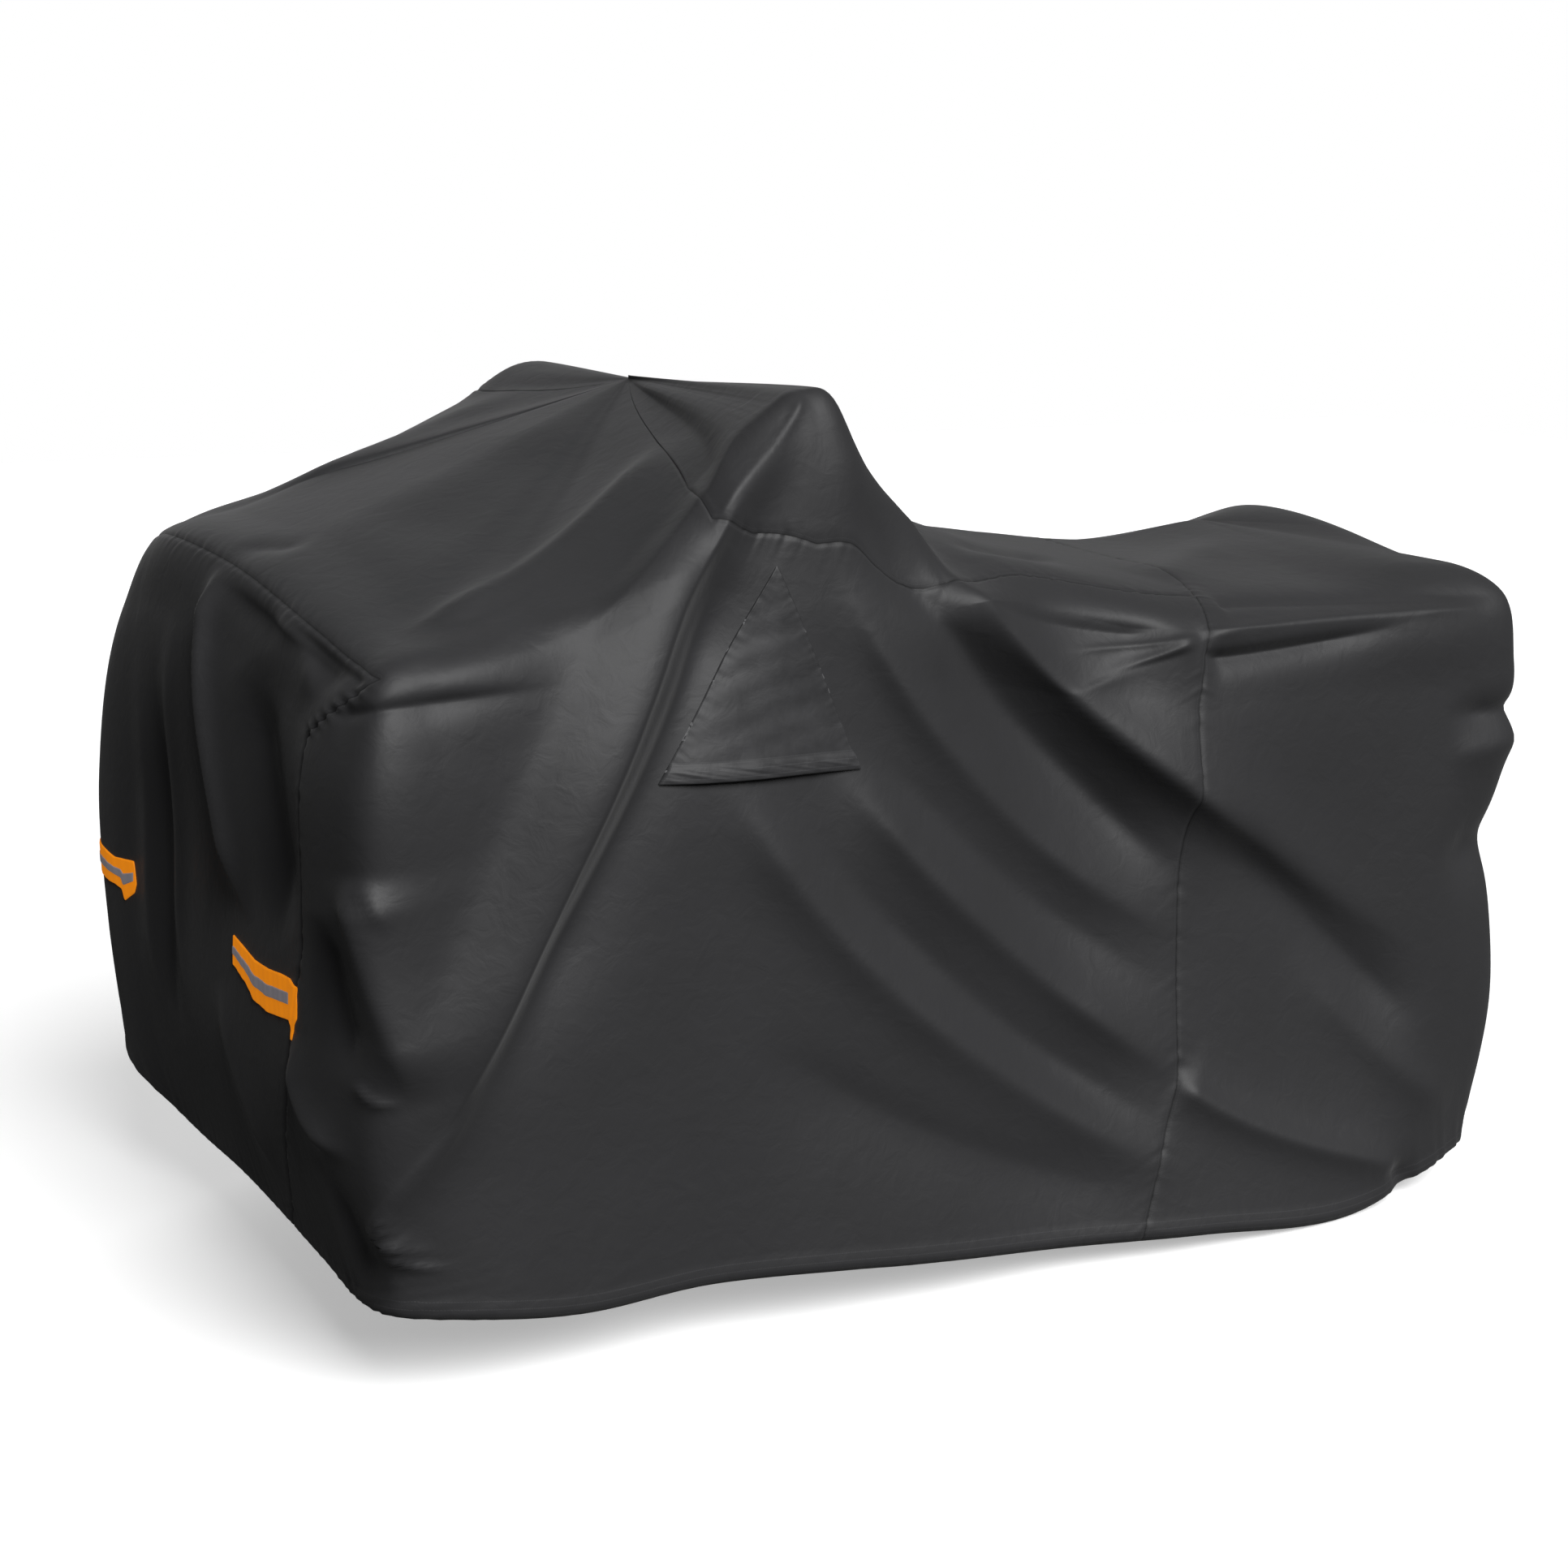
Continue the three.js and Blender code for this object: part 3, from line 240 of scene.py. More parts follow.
# Ring columns: x, y, face direction, then the heights and distances
NAMES = list(SECTIONS)
ROWS = np.array(list(SECTIONS.values()), float)
FACES = np.radians(ROWS[:, 2])
COLUMNS = np.column_stack([ROWS[:, :2], -np.cos(FACES), -np.sin(FACES), ROWS[:, 3:]])
SPANS = np.linalg.norm(np.roll(ROWS[:, :2], -1, 0) - ROWS[:, :2], axis=1)
GRIP = NAMES.index("grip")
RING_START = ROWS[GRIP, 0] - SPANS[:GRIP].sum()
RING = SPANS.sum()
KNOTS = RING_START + np.concatenate([[0], np.cumsum(SPANS)])
BROW_COLUMN = COLUMNS.shape[1] - 1


def ring_slopes():
    """Slope of every column at every section, from the spans beside it; the brow is level where it turns."""
    rate = (np.roll(COLUMNS, -1, 0) - COLUMNS) / SPANS[:, None]
    before, span_before = np.roll(rate, 1, 0), np.roll(SPANS, 1)[:, None]
    slopes = (before * SPANS[:, None] + rate * span_before) / (SPANS[:, None] + span_before)
    turning = before[:, BROW_COLUMN] * rate[:, BROW_COLUMN] < 0
    slopes[turning, BROW_COLUMN] = 0
    return slopes


SLOPES = ring_slopes()


def ring_place(s):
    """s counted once round the ring from its start."""
    return np.mod(s - RING_START, RING) + RING_START


def wall_place(s):
    """s with the front counted back from the near corner, as the fold tables have it."""
    around = ring_place(s)
    return np.where(around > FRONT_CUT, around - RING, around)


def ring_points(s):
    """The seven ring points at places s, as an array of s.shape + (7, 3)."""
    along = ring_place(s)
    i = np.clip(np.searchsorted(KNOTS, along, side="right") - 1, 0, len(SPANS) - 1)
    j = (i + 1) % len(SPANS)
    t = ((along - KNOTS[i]) / SPANS[i])[..., None]
    v = hermite(COLUMNS[i], COLUMNS[j], SLOPES[i], SLOPES[j], SPANS[i][..., None], t)
    x, y, out_x, out_y, top, chest, belt, knee, hem, lift, brow_x, brow_y, brow = np.moveaxis(v, -1, 0)
    reach = np.hypot(out_x, out_y)
    height = top - lift
    rings = [
        (hem, lift),
        (knee, lift + KNEE_SHARE * height),
        (belt, lift + BELT_SHARE * height),
        (chest, top - CHEST_DROP),
        (0 * hem, top),
    ]
    points = [np.stack([x + d * out_x / reach, y + d * out_y / reach, z], -1) for d, z in rings]
    points += [np.stack([brow_x, brow_y, brow], -1), spine_at(x)]
    return np.stack(points, -2)


def cloth_base(s, level):
    """The smooth cloth before its folds: a cubic through the ring points, weighted by the chords between
    them, its height flattened at the brow so that it never bulges above an edge."""
    points = ring_points(s)
    chords = np.maximum(np.linalg.norm(np.diff(points, axis=-2), axis=-1), LEAST_CHORD)[..., None]
    rates = np.diff(points, axis=-2) / chords
    inner = (rates[..., :-1, :] * chords[..., 1:, :] + rates[..., 1:, :] * chords[..., :-1, :]) / (
        chords[..., 1:, :] + chords[..., :-1, :]
    )
    before, after = rates[..., SHOULDER, 2], rates[..., BROW, 2]
    same = before * after > 0
    flat = 2 * before * after / np.where(same, before + after, 1)
    inner[..., BROW - 1, 2] = np.where(same, flat, 0)
    slopes = np.concatenate([rates[..., :1, :], inner, rates[..., -1:, :]], -2)
    i = np.clip(np.floor(level).astype(int), 0, TOP - 1)

    def pick(rows, k):
        return np.take_along_axis(rows, k[..., None, None], -2)[..., 0, :]

    return hermite(
        pick(points, i),
        pick(points, i + 1),
        pick(slopes, i),
        pick(slopes, i + 1),
        pick(chords, i),
        (level - i)[..., None],
    )


def base_normal(s, level):
    """Outward normal of the smooth cloth, from small steps along s and level."""
    over = cloth_base(s, np.minimum(level + STEP_LEVEL, TOP))
    up = over - cloth_base(s, np.maximum(level - STEP_LEVEL, HEM))
    along = cloth_base(s + STEP_S, level) - cloth_base(s - STEP_S, level)
    normal = np.cross(along, up)
    length = np.linalg.norm(normal, axis=-1, keepdims=True)
    return np.where(length > LEAST_NORMAL, normal / np.maximum(length, LEAST_NORMAL), (0.0, 0.0, 1.0))


def fold_rise(row, u, v):
    """One fold: its rise at (u, v). Its path is a parabola through three places. The rise falls off from the
    path as exp(-FLANK_FALL (sqrt(d^2 + c^2) - c)), d being the distance over the flank's reach and c the
    crest's roundness, and fades in and out towards the path's ends."""
    u0, v0, u1, v1, u2, v2, left, right, rise, crest, fade_in, fade_out = row
    t = np.linspace(0, 1, FOLD_STEPS + 1)
    a, b, c = (1 - t) ** 2, 2 * t * (1 - t), t**2
    path_u = a * u0 + b * (2 * u1 - (u0 + u2) / 2) + c * u2
    path_v = a * v0 + b * (2 * v1 - (v0 + v2) / 2) + c * v2
    reach = FOLD_REACH * max(left, right)
    result = np.zeros(u.shape)
    close = (u > path_u.min() - reach) & (u < path_u.max() + reach)
    close &= (v > path_v.min() - reach) & (v < path_v.max() + reach)
    pu, pv = u[close], v[close]
    if not pu.size:
        return result
    best = np.full(pu.shape, np.inf)
    side = np.zeros(pu.shape)
    share = np.zeros(pu.shape)
    for k in range(FOLD_STEPS):
        du, dv = path_u[k + 1] - path_u[k], path_v[k + 1] - path_v[k]
        qu, qv = pu - path_u[k], pv - path_v[k]
        along = np.clip((qu * du + qv * dv) / (du * du + dv * dv), 0, 1)
        distance = np.hypot(qu - along * du, qv - along * dv)
        nearer = distance < best
        best = np.where(nearer, distance, best)
        side = np.where(nearer, du * qv - dv * qu, side)
        share = np.where(nearer, (k + along) / FOLD_STEPS, share)
    away = best / np.where(side > 0, left, right)
    flank = np.exp(-FLANK_FALL * (np.hypot(away, crest) - crest))
    ends = smooth(np.minimum(share / fade_in, (1 - share) / fade_out))
    result[close] = rise * flank * ends
    return result


def mirrored(row):
    """A far-side fold, its x turned into s and its two flanks swapped."""
    x0, z0, x1, z1, x2, z2, left, right, *rest = row
    return (FAR_MIRROR - x0, z0, FAR_MIRROR - x1, z1, FAR_MIRROR - x2, z2, right, left, *rest)


def main_folds(s, base, normal, level):
    """Rise of all the main folds, wall folds where the cloth is steep and crown folds above the shoulder."""
    around, wall_s, height = ring_place(s), wall_place(s), base[..., 2]
    wall = sum(fold_rise(row, wall_s, height) for row in WALL_FOLDS.values())
    wall = wall + sum(fold_rise(mirrored(row), around, height) for row in FAR_FOLDS.values())
    crown = sum(fold_rise(row, base[..., 0], base[..., 1]) for row in CROWN_FOLDS.values())
    steep = np.clip((CROWN_TILT - normal[..., 2]) / (CROWN_TILT - WALL_TILT), 0, 1)
    steep = steep * smooth(np.linalg.norm(base - SPINE_ROWS[0], axis=-1) / CALM_TIP)
    high = np.clip((level - CROWN_START) / CROWN_BLEND, 0, 1)
    return steep * wall + high * crown


# Fine relief that only the eye needs, in millimetres. Small creases in s and z, with the wall folds' columns
CREASES = {
    "tent_crease": (-356, 1545, -470, 1425, -590, 1310, 16, 20, 8, 0.12, 0.1, 0.3),
    "lip_shadow": (-1170, 1138, -1300, 1160, -1500, 1196, 26, 9, -8, 0.2, 0.15, 0.45),
    "grip_fill": (-480, 1330, -700, 1035, -1010, 540, 30, 26, 10, 0.6, 0.3, 0.3),
    "grip_foot": (-520, 1420, -835, 1140, -1250, 300, 55, 70, -13, 0.7, 0.35, 0.35),
    "rack_line": (-1235, 1068, -1150, 1092, -1040, 1110, 24, 24, 5, 0.4, 0.2, 0.4),
    "tread_tooth": (-1160, 845, -1136, 824, -1122, 765, 14, 9, 9, 0.15, 0.25, 0.4),
    "foot_tooth": (-1164, 540, -1142, 509, -1105, 508, 9, 13, 9, 0.15, 0.25, 0.45),
    "seat_crease": (160, 1029, 298, 1061, 420, 1090, 9, 18, -8, 0.2, 0.35, 0.2),
    "seat_crest": (136, 1090, 300, 1098, 425, 1107, 9, 12, 6, 0.2, 0.35, 0.15),
    "tail_upper": (502, 1153, 690, 1150, 1132, 1133, 10, 12, -8, 0.2, 0.1, 0.6),
    "tail_lower": (424, 1077, 600, 1089, 880, 1112, 10, 16, -8, 0.2, 0.1, 0.6),
    "ridge_foot": (-1000, 525, -1095, 395, -1168, 262, 44, 12, 11, 0.15, 0.35, 0.15),
    "hem_fold_a": (-1150, 335, -1136, 282, -1156, 222, 16, 9, 13, 0.15, 0.4, 0.3),
    "hem_fold_b": (-1108, 300, -1122, 262, -1108, 220, 14, 8, 11, 0.15, 0.4, 0.3),
    "hem_fold_c": (-1170, 296, -1130, 266, -1070, 250, 10, 14, 9, 0.15, 0.3, 0.4),
    "hem_fold_d": (-1140, 252, -1110, 234, -1050, 214, 10, 14, 9, 0.15, 0.3, 0.4),
}
# Seams that cross the levels, with the levels they start and end at
CROSS_SEAMS = {
    "front_near": (HEM, SHOULDER),
    "rear_near": (HEM, TOP),
    "rear_far": (HEM, TOP),
    "front_far": (HEM, SHOULDER),
}
# Wave tables: length, phase, weight
PUCKER_WAVES = ((29.0, 0.0, 1.0), (17.0, 1.7, 0.7), (47.0, 4.1, 0.8))
BUNCH_WAVES = ((163.0, 0.6, 1.0), (97.0, 2.9, 0.8), (271.0, 5.2, 0.9))
GATHER_WAVES = ((27.0, 0.4, 1.0), (41.0, 2.2, 0.9), (17.0, 5.0, 0.4))
SEAM_DIP = 2.4
SEAM_REACH = 5.0
OPEN_STRETCH = 0.35  # dips and puckers are whole where a step of s is at least this share of its length
PUCKER_RISE = 2.2
PUCKER_REACH = 20.0
PUCKER_SLANT = 0.5  # waves lean along the seam by this much of their distance from it
PUCKER_CALM = 0.25  # share of the puckers that stays where they calm down
BUNCH_GAIN = 1.1
TEETH_RISE = 3.0
TEETH_PITCH = 15.0
TEETH_REACH = 20.0
TEETH_SLANT = 0.35
TEETH_FROM, TEETH_TO, TEETH_FADE = 1030.0, 1140.0, 20.0
HEM_BAND = 38.0
HEM_TUCK = 12.0
TUCK_HEIGHT = 14.0
GATHER_RISE = 3.0
GATHER_FADE = 55.0
GATHER_SLANT = 0.25
GATHER_CALM = 0.16
# s and reach of each corner where the hem gathers
GATHER_CORNERS = ((-1150.0, 130.0), (1110.0, 170.0), (2440.0, 170.0), (4540.0, 170.0))
CASING_RISE = 1.6
CASING_FULLNESS = 0.6  # below 1, the casing's section is fuller than half a sine


def seam_level(s):
    """Level of the long top seam at places s: straight between its rows, and the spine outside them."""
    places, levels = np.array(TOP_SEAM, float).T
    return np.interp(s, places, levels, left=TOP, right=TOP)


def seam_place(name, level):
    """s of a seam that crosses the levels, straight between the rings."""
    return np.interp(level, np.arange(TOP + 1), np.array(SEAM_LINES[name], float))


def waves(run, slant, table):
    """Weighted mean of sines along a run, each leaning by slant as it leaves the seam."""
    total = sum(weight for _, _, weight in table)
    sines = (weight * np.sin(2 * np.pi * (run + slant) / length + phase) for length, phase, weight in table)
    return sum(sines) / total


def round_offset(a, b):
    """Shortest way round the ring from b to a, with its sign."""
    return np.mod(a - b + RING / 2, RING) - RING / 2


def seam_facts(s, level, stretch_s, stretch_level, base):
    """Distance to the nearest seam and the run along it, both in millimetres."""
    around = ring_place(s)
    nearest = np.full(s.shape, FAR_AWAY)
    run = np.zeros(s.shape)
    upright_run = base[..., 2] + base[..., 1] * (level > SHOULDER)
    top_level = seam_level(around)
    body = (around < seam_place("rear_near", level)) | (around > seam_place("rear_far", level))
    front_start = ring_place(seam_place("front_near", SHOULDER))
    front = (around > SEAM_LINES["front_far"][SHOULDER]) | (around < front_start)
    found = []
    for name, (_, high) in CROSS_SEAMS.items():
        off = round_offset(around, ring_place(seam_place(name, level)))
        past_end = np.maximum(level - high, 0) * stretch_level
        found.append((np.abs(off) * stretch_s + past_end, upright_run))
    for there, seam in ((body & (top_level < TOP), top_level), (front, SHOULDER)):
        found.append((np.where(there, np.abs(level - seam) * stretch_level, FAR_AWAY), around))
    for distance, along in found:
        closer = distance < nearest
        nearest = np.where(closer, distance, nearest)
        run = np.where(closer, along, run)
    return nearest, run


def front_teeth(s, level, stretch_s, height):
    """A short row of teeth on the front corner seam: a sine down the seam, leaning as it leaves it, that
    falls off as exp(-(d / TEETH_REACH)^2) from the seam and fades at both ends of the row."""
    from_seam = (wall_place(s) - seam_place("front_near", level)) * stretch_s
    in_row = smooth((height - TEETH_FROM) / TEETH_FADE) * smooth((TEETH_TO - height) / TEETH_FADE)
    beat = np.sin(2 * np.pi * (height + TEETH_SLANT * from_seam) / TEETH_PITCH)
    return TEETH_RISE * in_row * np.exp(-((from_seam / TEETH_REACH) ** 2)) * beat


def hem_relief(s, above_hem):
    """The elastic hem: its casing bulges as a full half sine, its lower edge is tucked in as a parabola, and
    it gathers in a sum of sines that is strongest at the corners and fades above the casing."""
    corners = [np.abs(round_offset(s, place)) / reach for place, reach in GATHER_CORNERS]
    gathered = GATHER_CALM + (1 - GATHER_CALM) * np.exp(-(np.minimum.reduce(corners) ** 2))
    fading = np.exp(-np.maximum(above_hem - HEM_BAND, 0) / GATHER_FADE)
    gather = GATHER_RISE * fading * gathered * waves(s, GATHER_SLANT * above_hem, GATHER_WAVES)
    casing = CASING_RISE * np.sin(np.pi * np.clip(above_hem / HEM_BAND, 0, 1)) ** CASING_FULLNESS
    tuck = -HEM_TUCK * np.clip(1 - above_hem / TUCK_HEIGHT, 0, 1) ** 2
    return gather + casing + tuck


def fine_relief(s, level, base):
    """Dips at the seams with puckers beside them, sharp creases, teeth and the hem. The dip falls off as
    exp(-(d / SEAM_REACH)^2), and the puckers are sums of sines along the seam that bunch and calm down."""
    along = cloth_base(s + STEP_S, level) - cloth_base(s - STEP_S, level)
    stretch_s = np.linalg.norm(along, axis=-1) / (2 * STEP_S)
    high, low = np.minimum(level + RELIEF_STEP, TOP), np.maximum(level - RELIEF_STEP, HEM)
    stretch_level = np.linalg.norm(cloth_base(s, high) - cloth_base(s, low), axis=-1) / (high - low)
    distance, run = seam_facts(s, level, stretch_s, stretch_level, base)
    opened = smooth(stretch_s / OPEN_STRETCH)  # 0 at the spine's ends, where all lines meet
    dip = -SEAM_DIP * opened * np.exp(-((distance / SEAM_REACH) ** 2))
    bunched = PUCKER_CALM + (1 - PUCKER_CALM) * smooth(0.5 + BUNCH_GAIN * waves(run, 0, BUNCH_WAVES))
    pucker = opened * bunched * np.exp(-distance / PUCKER_REACH)
    pucker = PUCKER_RISE * pucker * waves(run, PUCKER_SLANT * distance, PUCKER_WAVES)
    teeth = front_teeth(s, level, stretch_s, base[..., 2])
    wall_s = wall_place(s)
    creases = sum(fold_rise(row, wall_s, base[..., 2]) for row in CREASES.values())
    above_hem = level * stretch_level
    return dip + pucker + teeth + creases + hem_relief(s, above_hem), distance, run, above_hem


def cloth_points(s, level, raise_mm=0.0, relief=True):
    """The draped cloth in metres in the row frame: the base moved along its normal by the folds, the relief
    and the rise asked for. With it go its seam distance, seam run and height above the hem."""
    base = cloth_base(s, level)
    normal = base_normal(s, level)
    depth = main_folds(s, base, normal, level) + raise_mm
    distance = run = above = np.zeros(s.shape)
    if relief:
        fine, distance, run, above = fine_relief(s, level, base)
        depth = depth + fine
    points = base + normal * depth[..., None] - ORIGIN
    points[..., 2] = np.maximum(points[..., 2], 0)  # the ground
    return points / 1000, distance, run, above


# Mesh of a panel: lines round the cover and rows of levels
HALVINGS = 30
SPINE_SNAP = 0.05  # a line that meets the top seam this close to the spine meets it at the spine
LEAST_FACE = 1e-9
LINE_KEYS = dict(SEAM_LINES)
LINE_KEYS.update(
    grip=(SPINE_FRONT,) * (TOP + 1),
    spine_end=(SPINE_REAR,) * (TOP + 1),
    tail=(FAR_MIRROR / 2,) * (TOP + 1),
    far_spine_end=(FAR_MIRROR - SPINE_REAR,) * (TOP + 1),
    far_grip=(FAR_MIRROR - SPINE_FRONT,) * (TOP + 1),
)


def run_lines(*runs):
    """Mesh lines from key to key, as an array of lines by rings holding s."""
    lines = []
    for start, end, cells in runs:
        a, b = np.array(LINE_KEYS[start], float), np.array(LINE_KEYS[end], float)
        b = np.where(b < a, b + RING, b)
        share = np.linspace(0, 1, cells + 1)[:-1, None]
        lines.append(a + (b - a) * share)
        last = b
    return np.concatenate(lines + [last[None]])


def place_on(lines, level):
    """s of each line at its levels, straight between the rings."""
    k = np.clip(np.floor(level).astype(int), 0, TOP - 1)
    low = np.take_along_axis(lines, k, 1)
    high = np.take_along_axis(lines, k + 1, 1)
    return low + (high - low) * (level - k)


def top_seam_on(lines):
    """Level at which each line meets the top seam, by halving."""
    low, high = np.full((len(lines), 1), float(SHOULDER)), np.full((len(lines), 1), float(TOP))
    for _ in range(HALVINGS):
        level = (low + high) / 2
        under = level < seam_level(ring_place(place_on(lines, level)))
        low, high = np.where(under, level, low), np.where(under, high, level)
    return np.where(TOP - high < SPINE_SNAP, TOP, high)


def rows_between(low, high, cells):
    """Even rows of levels between two levels that may differ from line to line."""
    return low + (high - low) * np.linspace(0, 1, cells + 1)[None]


def add_mesh(name, points, quads, facts, material):
    """An object from a grid's points and faces, smooth shaded, its facts kept as attributes."""
    mesh = bpy.data.meshes.new(name)
    mesh.vertices.add(len(points))
    mesh.vertices.foreach_set("co", points.ravel())
    mesh.loops.add(quads.size)
    mesh.loops.foreach_set("vertex_index", quads.ravel())
    mesh.polygons.add(len(quads))
    mesh.polygons.foreach_set("loop_start", np.arange(0, quads.size, 4))
    mesh.polygons.foreach_set("loop_total", np.full(len(quads), 4))
    mesh.update(calc_edges=True)
    for key, values in facts.items():
        kind = "FLOAT_VECTOR" if values.ndim == 2 else "FLOAT"
        layer = mesh.attributes.new(key, kind, "POINT")
        layer.data.foreach_set("vector" if values.ndim == 2 else "value", values.ravel())
    mesh.polygons.foreach_set("use_smooth", np.ones(len(quads), bool))
    mesh.materials.append(material)
    made = bpy.data.objects.new(name, mesh)
    bpy.context.scene.collection.objects.link(made)
    return made


def grid_quads(lines, rows, first=0):
    """Faces of a grid of lines by rows."""
    index = first + np.arange(lines * rows).reshape(lines, rows)
    return np.stack([index[:-1, :-1], index[1:, :-1], index[1:, 1:], index[:-1, 1:]], -1).reshape(-1, 4)


def panel(name, blocks, material):
    """One panel from blocks of (lines, levels). Its facts are the distance to the nearest seam, the run along
    it, the height above the hem, and the weave: s across and the way climbed up the cloth, all in
    millimetres. Faces that shrink to nothing at the spine's ends are left out."""
    points, quads, facts, first = [], [], [], 0
    for lines, levels in blocks:
        s = place_on(lines, levels)
        p, distance, run, above = cloth_points(s, levels)
        quads.append(grid_quads(*s.shape, first))
        points.append(p.reshape(-1, 3))
        rises = np.linalg.norm(np.diff(p, axis=1), axis=-1) * 1000
        climbed = np.cumsum(np.concatenate([np.zeros((len(s), 1)), rises], 1), 1)
        weave = np.stack([s, climbed, 0 * s], -1)
        facts.append(np.column_stack([distance.ravel(), run.ravel(), above.ravel(), weave.reshape(-1, 3)]))
        first += s.size
    points, quads, facts = np.concatenate(points), np.concatenate(quads), np.concatenate(facts)
    a, b, c, d = (points[quads[:, k]] for k in range(4))
    area = np.linalg.norm(np.cross(c - a, d - b), axis=1)
    quads = quads[area > LEAST_FACE]
    named = {"seam": facts[:, 0], "run": facts[:, 1], "hem": facts[:, 2], "weave": facts[:, 3:]}
    return add_mesh(name, points, quads, named, material)


# Materials: colours as sRGB hex
CLOTH_DARK = "#323233"
CLOTH_LIGHT = "#38383A"
FLAP_DARK = "#262627"
FLAP_LIGHT = "#454547"
THREAD = "#505052"
# painted shade: the dark colour laid into the seams' grooves
GROOVE_SHADE = "#141415"
WORN_THREAD = "#B4B4B6"
ORANGE = "#FF9310"
TAPE_GREY = "#9A949A"
FLOOR_WHITE = "#F4F4F4"
# Sizes in millimetres. Real thread is 0.4 mm wide, and a row of stitches is drawn 1.8 mm wide to show
STITCH_HALF_WIDTH = 0.9
STITCH_PITCH = 4.2
STITCH_LENGTH = 3.2
SEAM_STITCHES = 6.0  # distance from the seam
HEM_STITCHES = (9.0, 21.0, 34.0)  # heights above the hem's edge
SEAM_FAINT = 0.4  # rows beside a seam are fainter than the hem's
THREAD_SHARE = 0.3  # of the thread's colour in the cloth's
THREAD_RISE = 0.5
WEAVE_RISE = 0.04
# reach and least strength of the painted shade in the seams' grooves
GROOVE_SHADE_REACH = 2.6
GROOVE_SHADE_LEAST = 0.25
FRAYED_EDGE = 4.5
WORN_OVER = 0.6  # threads are worn where the noise is over this
THREAD_PITCH = 0.9
BAND_RIB = 1.96
PANEL_PATCH = 200.0  # patches of uneven dye
FLAP_PATCH = 45.5
# patches for both the frayed wear and the painted shade along the seams
WORN_AND_SHADE_PATCH = 26.3
FRAYED_TUFT = 5.26
CRUMPLE = 38.5  # soft creases in the coating
BEAD = 1.11  # real beads are 0.1 mm and don't show, so the grain is drawn this coarse


def per_metre(size):
    """Scale of a noise on Object coordinates, in metres, whose patches have a size in millimetres."""
    return 1000 / size


def band_scale(pitch):
    """Scale of a wave texture whose bands repeat at a pitch: the texture's own period is pi / 10."""
    return math.pi / 10 / pitch


def linear(hex_colour):
    """sRGB hex to linear light."""
    parts = [int(hex_colour[k : k + 2], 16) / 255 for k in (1, 3, 5)]
    return tuple(c / 12.92 if c <= 0.04045 else ((c + 0.055) / 1.055) ** 2.4 for c in parts) + (1.0,)


def node(tree, kind, inputs=None, output=0, **settings):
    """One output of a new shader node with its settings, its inputs set to values or linked to sockets."""
    made = tree.nodes.new("ShaderNode" + kind)
    for key, value in settings.items():
        setattr(made, key, value)
    for key, value in (inputs or {}).items():
        if isinstance(value, bpy.types.NodeSocket):
            tree.links.new(value, made.inputs[key])
        else:
            made.inputs[key].default_value = value
    return made.outputs[output]


def start_material(name):
    """A material with an empty principled shader."""
    made = bpy.data.materials.new(name)
    made.use_nodes = True
    return made, made.node_tree, made.node_tree.nodes["Principled BSDF"]


